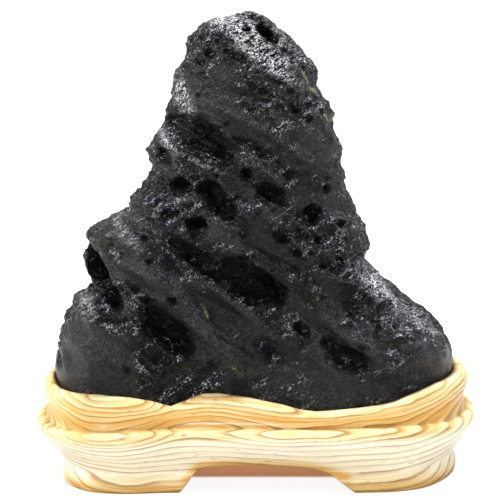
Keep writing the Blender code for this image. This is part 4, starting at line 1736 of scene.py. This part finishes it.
@dataclass
class Studio:
    """White table, soft lights, and a camera at the photograph's place."""

    distance: float = 1.2
    elevation: float = 10.5
    aim: tuple = (-0.0038, 0.0, 0.1183)
    metres_per_pixel: float = 0.5034e-3
    image_width: int = 500
    sensor: float = 36.0
    floor_size: float = 12.0
    softboxes: tuple = (
        Softbox("top_softbox", (0.0, -0.1, 1.2), 0.34, 0.2, 17.0, (0.94, 0.95, 1.0)),
        Softbox("back_softbox", (0.15, 0.6, 1.0), 0.6, 0.3, 18.0, (0.93, 0.94, 1.0)),
        Softbox("left_softbox", (-1.0, 0.2, 0.45), 0.3, 0.7, 10.0, (1.0, 0.99, 0.96)),
        Softbox("right_softbox", (1.0, 0.3, 0.5), 0.2, 0.6, 3.5, (0.94, 0.94, 1.0)),
        Softbox("front_light", (-0.12, -1.45, 0.16), 0.16, 0.12, 13.0, (1.0, 0.99, 0.97)),
    )
    sky_top: float = 0.32
    sky_behind: float = 0.28
    sky_front: float = 0.02

    def set_camera(self) -> None:
        """Put the camera where the photograph was taken from."""
        angle = math.radians(self.elevation)
        aim = Vector(self.aim)
        data = bpy.data.cameras.new("camera")
        data.sensor_width = self.sensor
        data.lens = self.distance / self.metres_per_pixel * self.sensor / self.image_width
        camera = bpy.data.objects.new("camera", data)
        back = Vector((0, -math.cos(angle), math.sin(angle)))
        camera.location = aim + back * self.distance
        camera.rotation_euler = (-back).to_track_quat("-Z", "Y").to_euler()
        bpy.context.scene.collection.objects.link(camera)
        bpy.context.scene.camera = camera

    def set_sky(self) -> None:
        """White surroundings, dimmer towards the front, and plain white to the eye."""
        world = bpy.data.worlds.new("studio")
        bpy.context.scene.world = world
        world.use_nodes = True
        sheet = Sheet(world.node_tree)
        background = world.node_tree.nodes["Background"]
        direction = sheet.node("ShaderNodeTexCoord").outputs["Generated"]
        parts = sheet.node("ShaderNodeSeparateXYZ")
        sheet.feed(parts.inputs[0], direction)
        glow = sheet.ranged(parts.outputs["Y"], -0.45, 0.3, self.sky_front, self.sky_behind)
        overhead = sheet.ranged(parts.outputs["Z"], 0.55, 0.95, 0.0, self.sky_top)
        glow = sheet.math("MAXIMUM", glow, overhead)
        seen = sheet.node("ShaderNodeLightPath").outputs["Is Camera Ray"]
        sheet.feed(background.inputs["Strength"], sheet.plus(
            glow, sheet.times(seen, sheet.minus(1.0, glow))))
        background.inputs["Color"].default_value = (1, 1, 1, 1)

    def lay_floor(self) -> None:
        """Lay the white table top."""
        half = self.floor_size / 2
        corners = [(-half, -half, 0), (half, -half, 0), (half, half, 0), (-half, half, 0)]
        mesh = bpy.data.meshes.new("table_top")
        mesh.from_pydata(corners, [], [(0, 1, 2, 3)])
        mesh.materials.append(FloorFinish().make())
        floor = bpy.data.objects.new("table_top", mesh)
        bpy.context.scene.collection.objects.link(floor)

    def build(self) -> None:
        """Set the whole studio up."""
        bpy.context.scene.view_settings.view_transform = "Standard"
        self.set_camera()
        self.set_sky()
        self.lay_floor()
        for softbox in self.softboxes:
            softbox.hang(Vector(self.aim))


def main() -> None:
    """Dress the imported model: the stone, its stand, and the studio round them."""
    logging.basicConfig(level=logging.INFO, format="%(message)s")
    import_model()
    grain = FineGrain()
    stone = Stone()
    stand = Stand(stone)
    shift = stand.model_shift()
    rock_piece = stone.build(StoneFinish().make(grain, Sparkle()), shift)
    stand_piece = stand.build(WoodFinish().make(grain, GrowthRings()), shift)
    for piece, node, slot in ((rock_piece, "rock", "stone"), (stand_piece, "stand", "wood")):
        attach(piece, "root")
        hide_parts(node)
        LOG.info("%s: %d faces", piece.name, len(piece.data.polygons))
    Studio().build()
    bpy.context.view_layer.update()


if __name__ == "__main__":
    main()
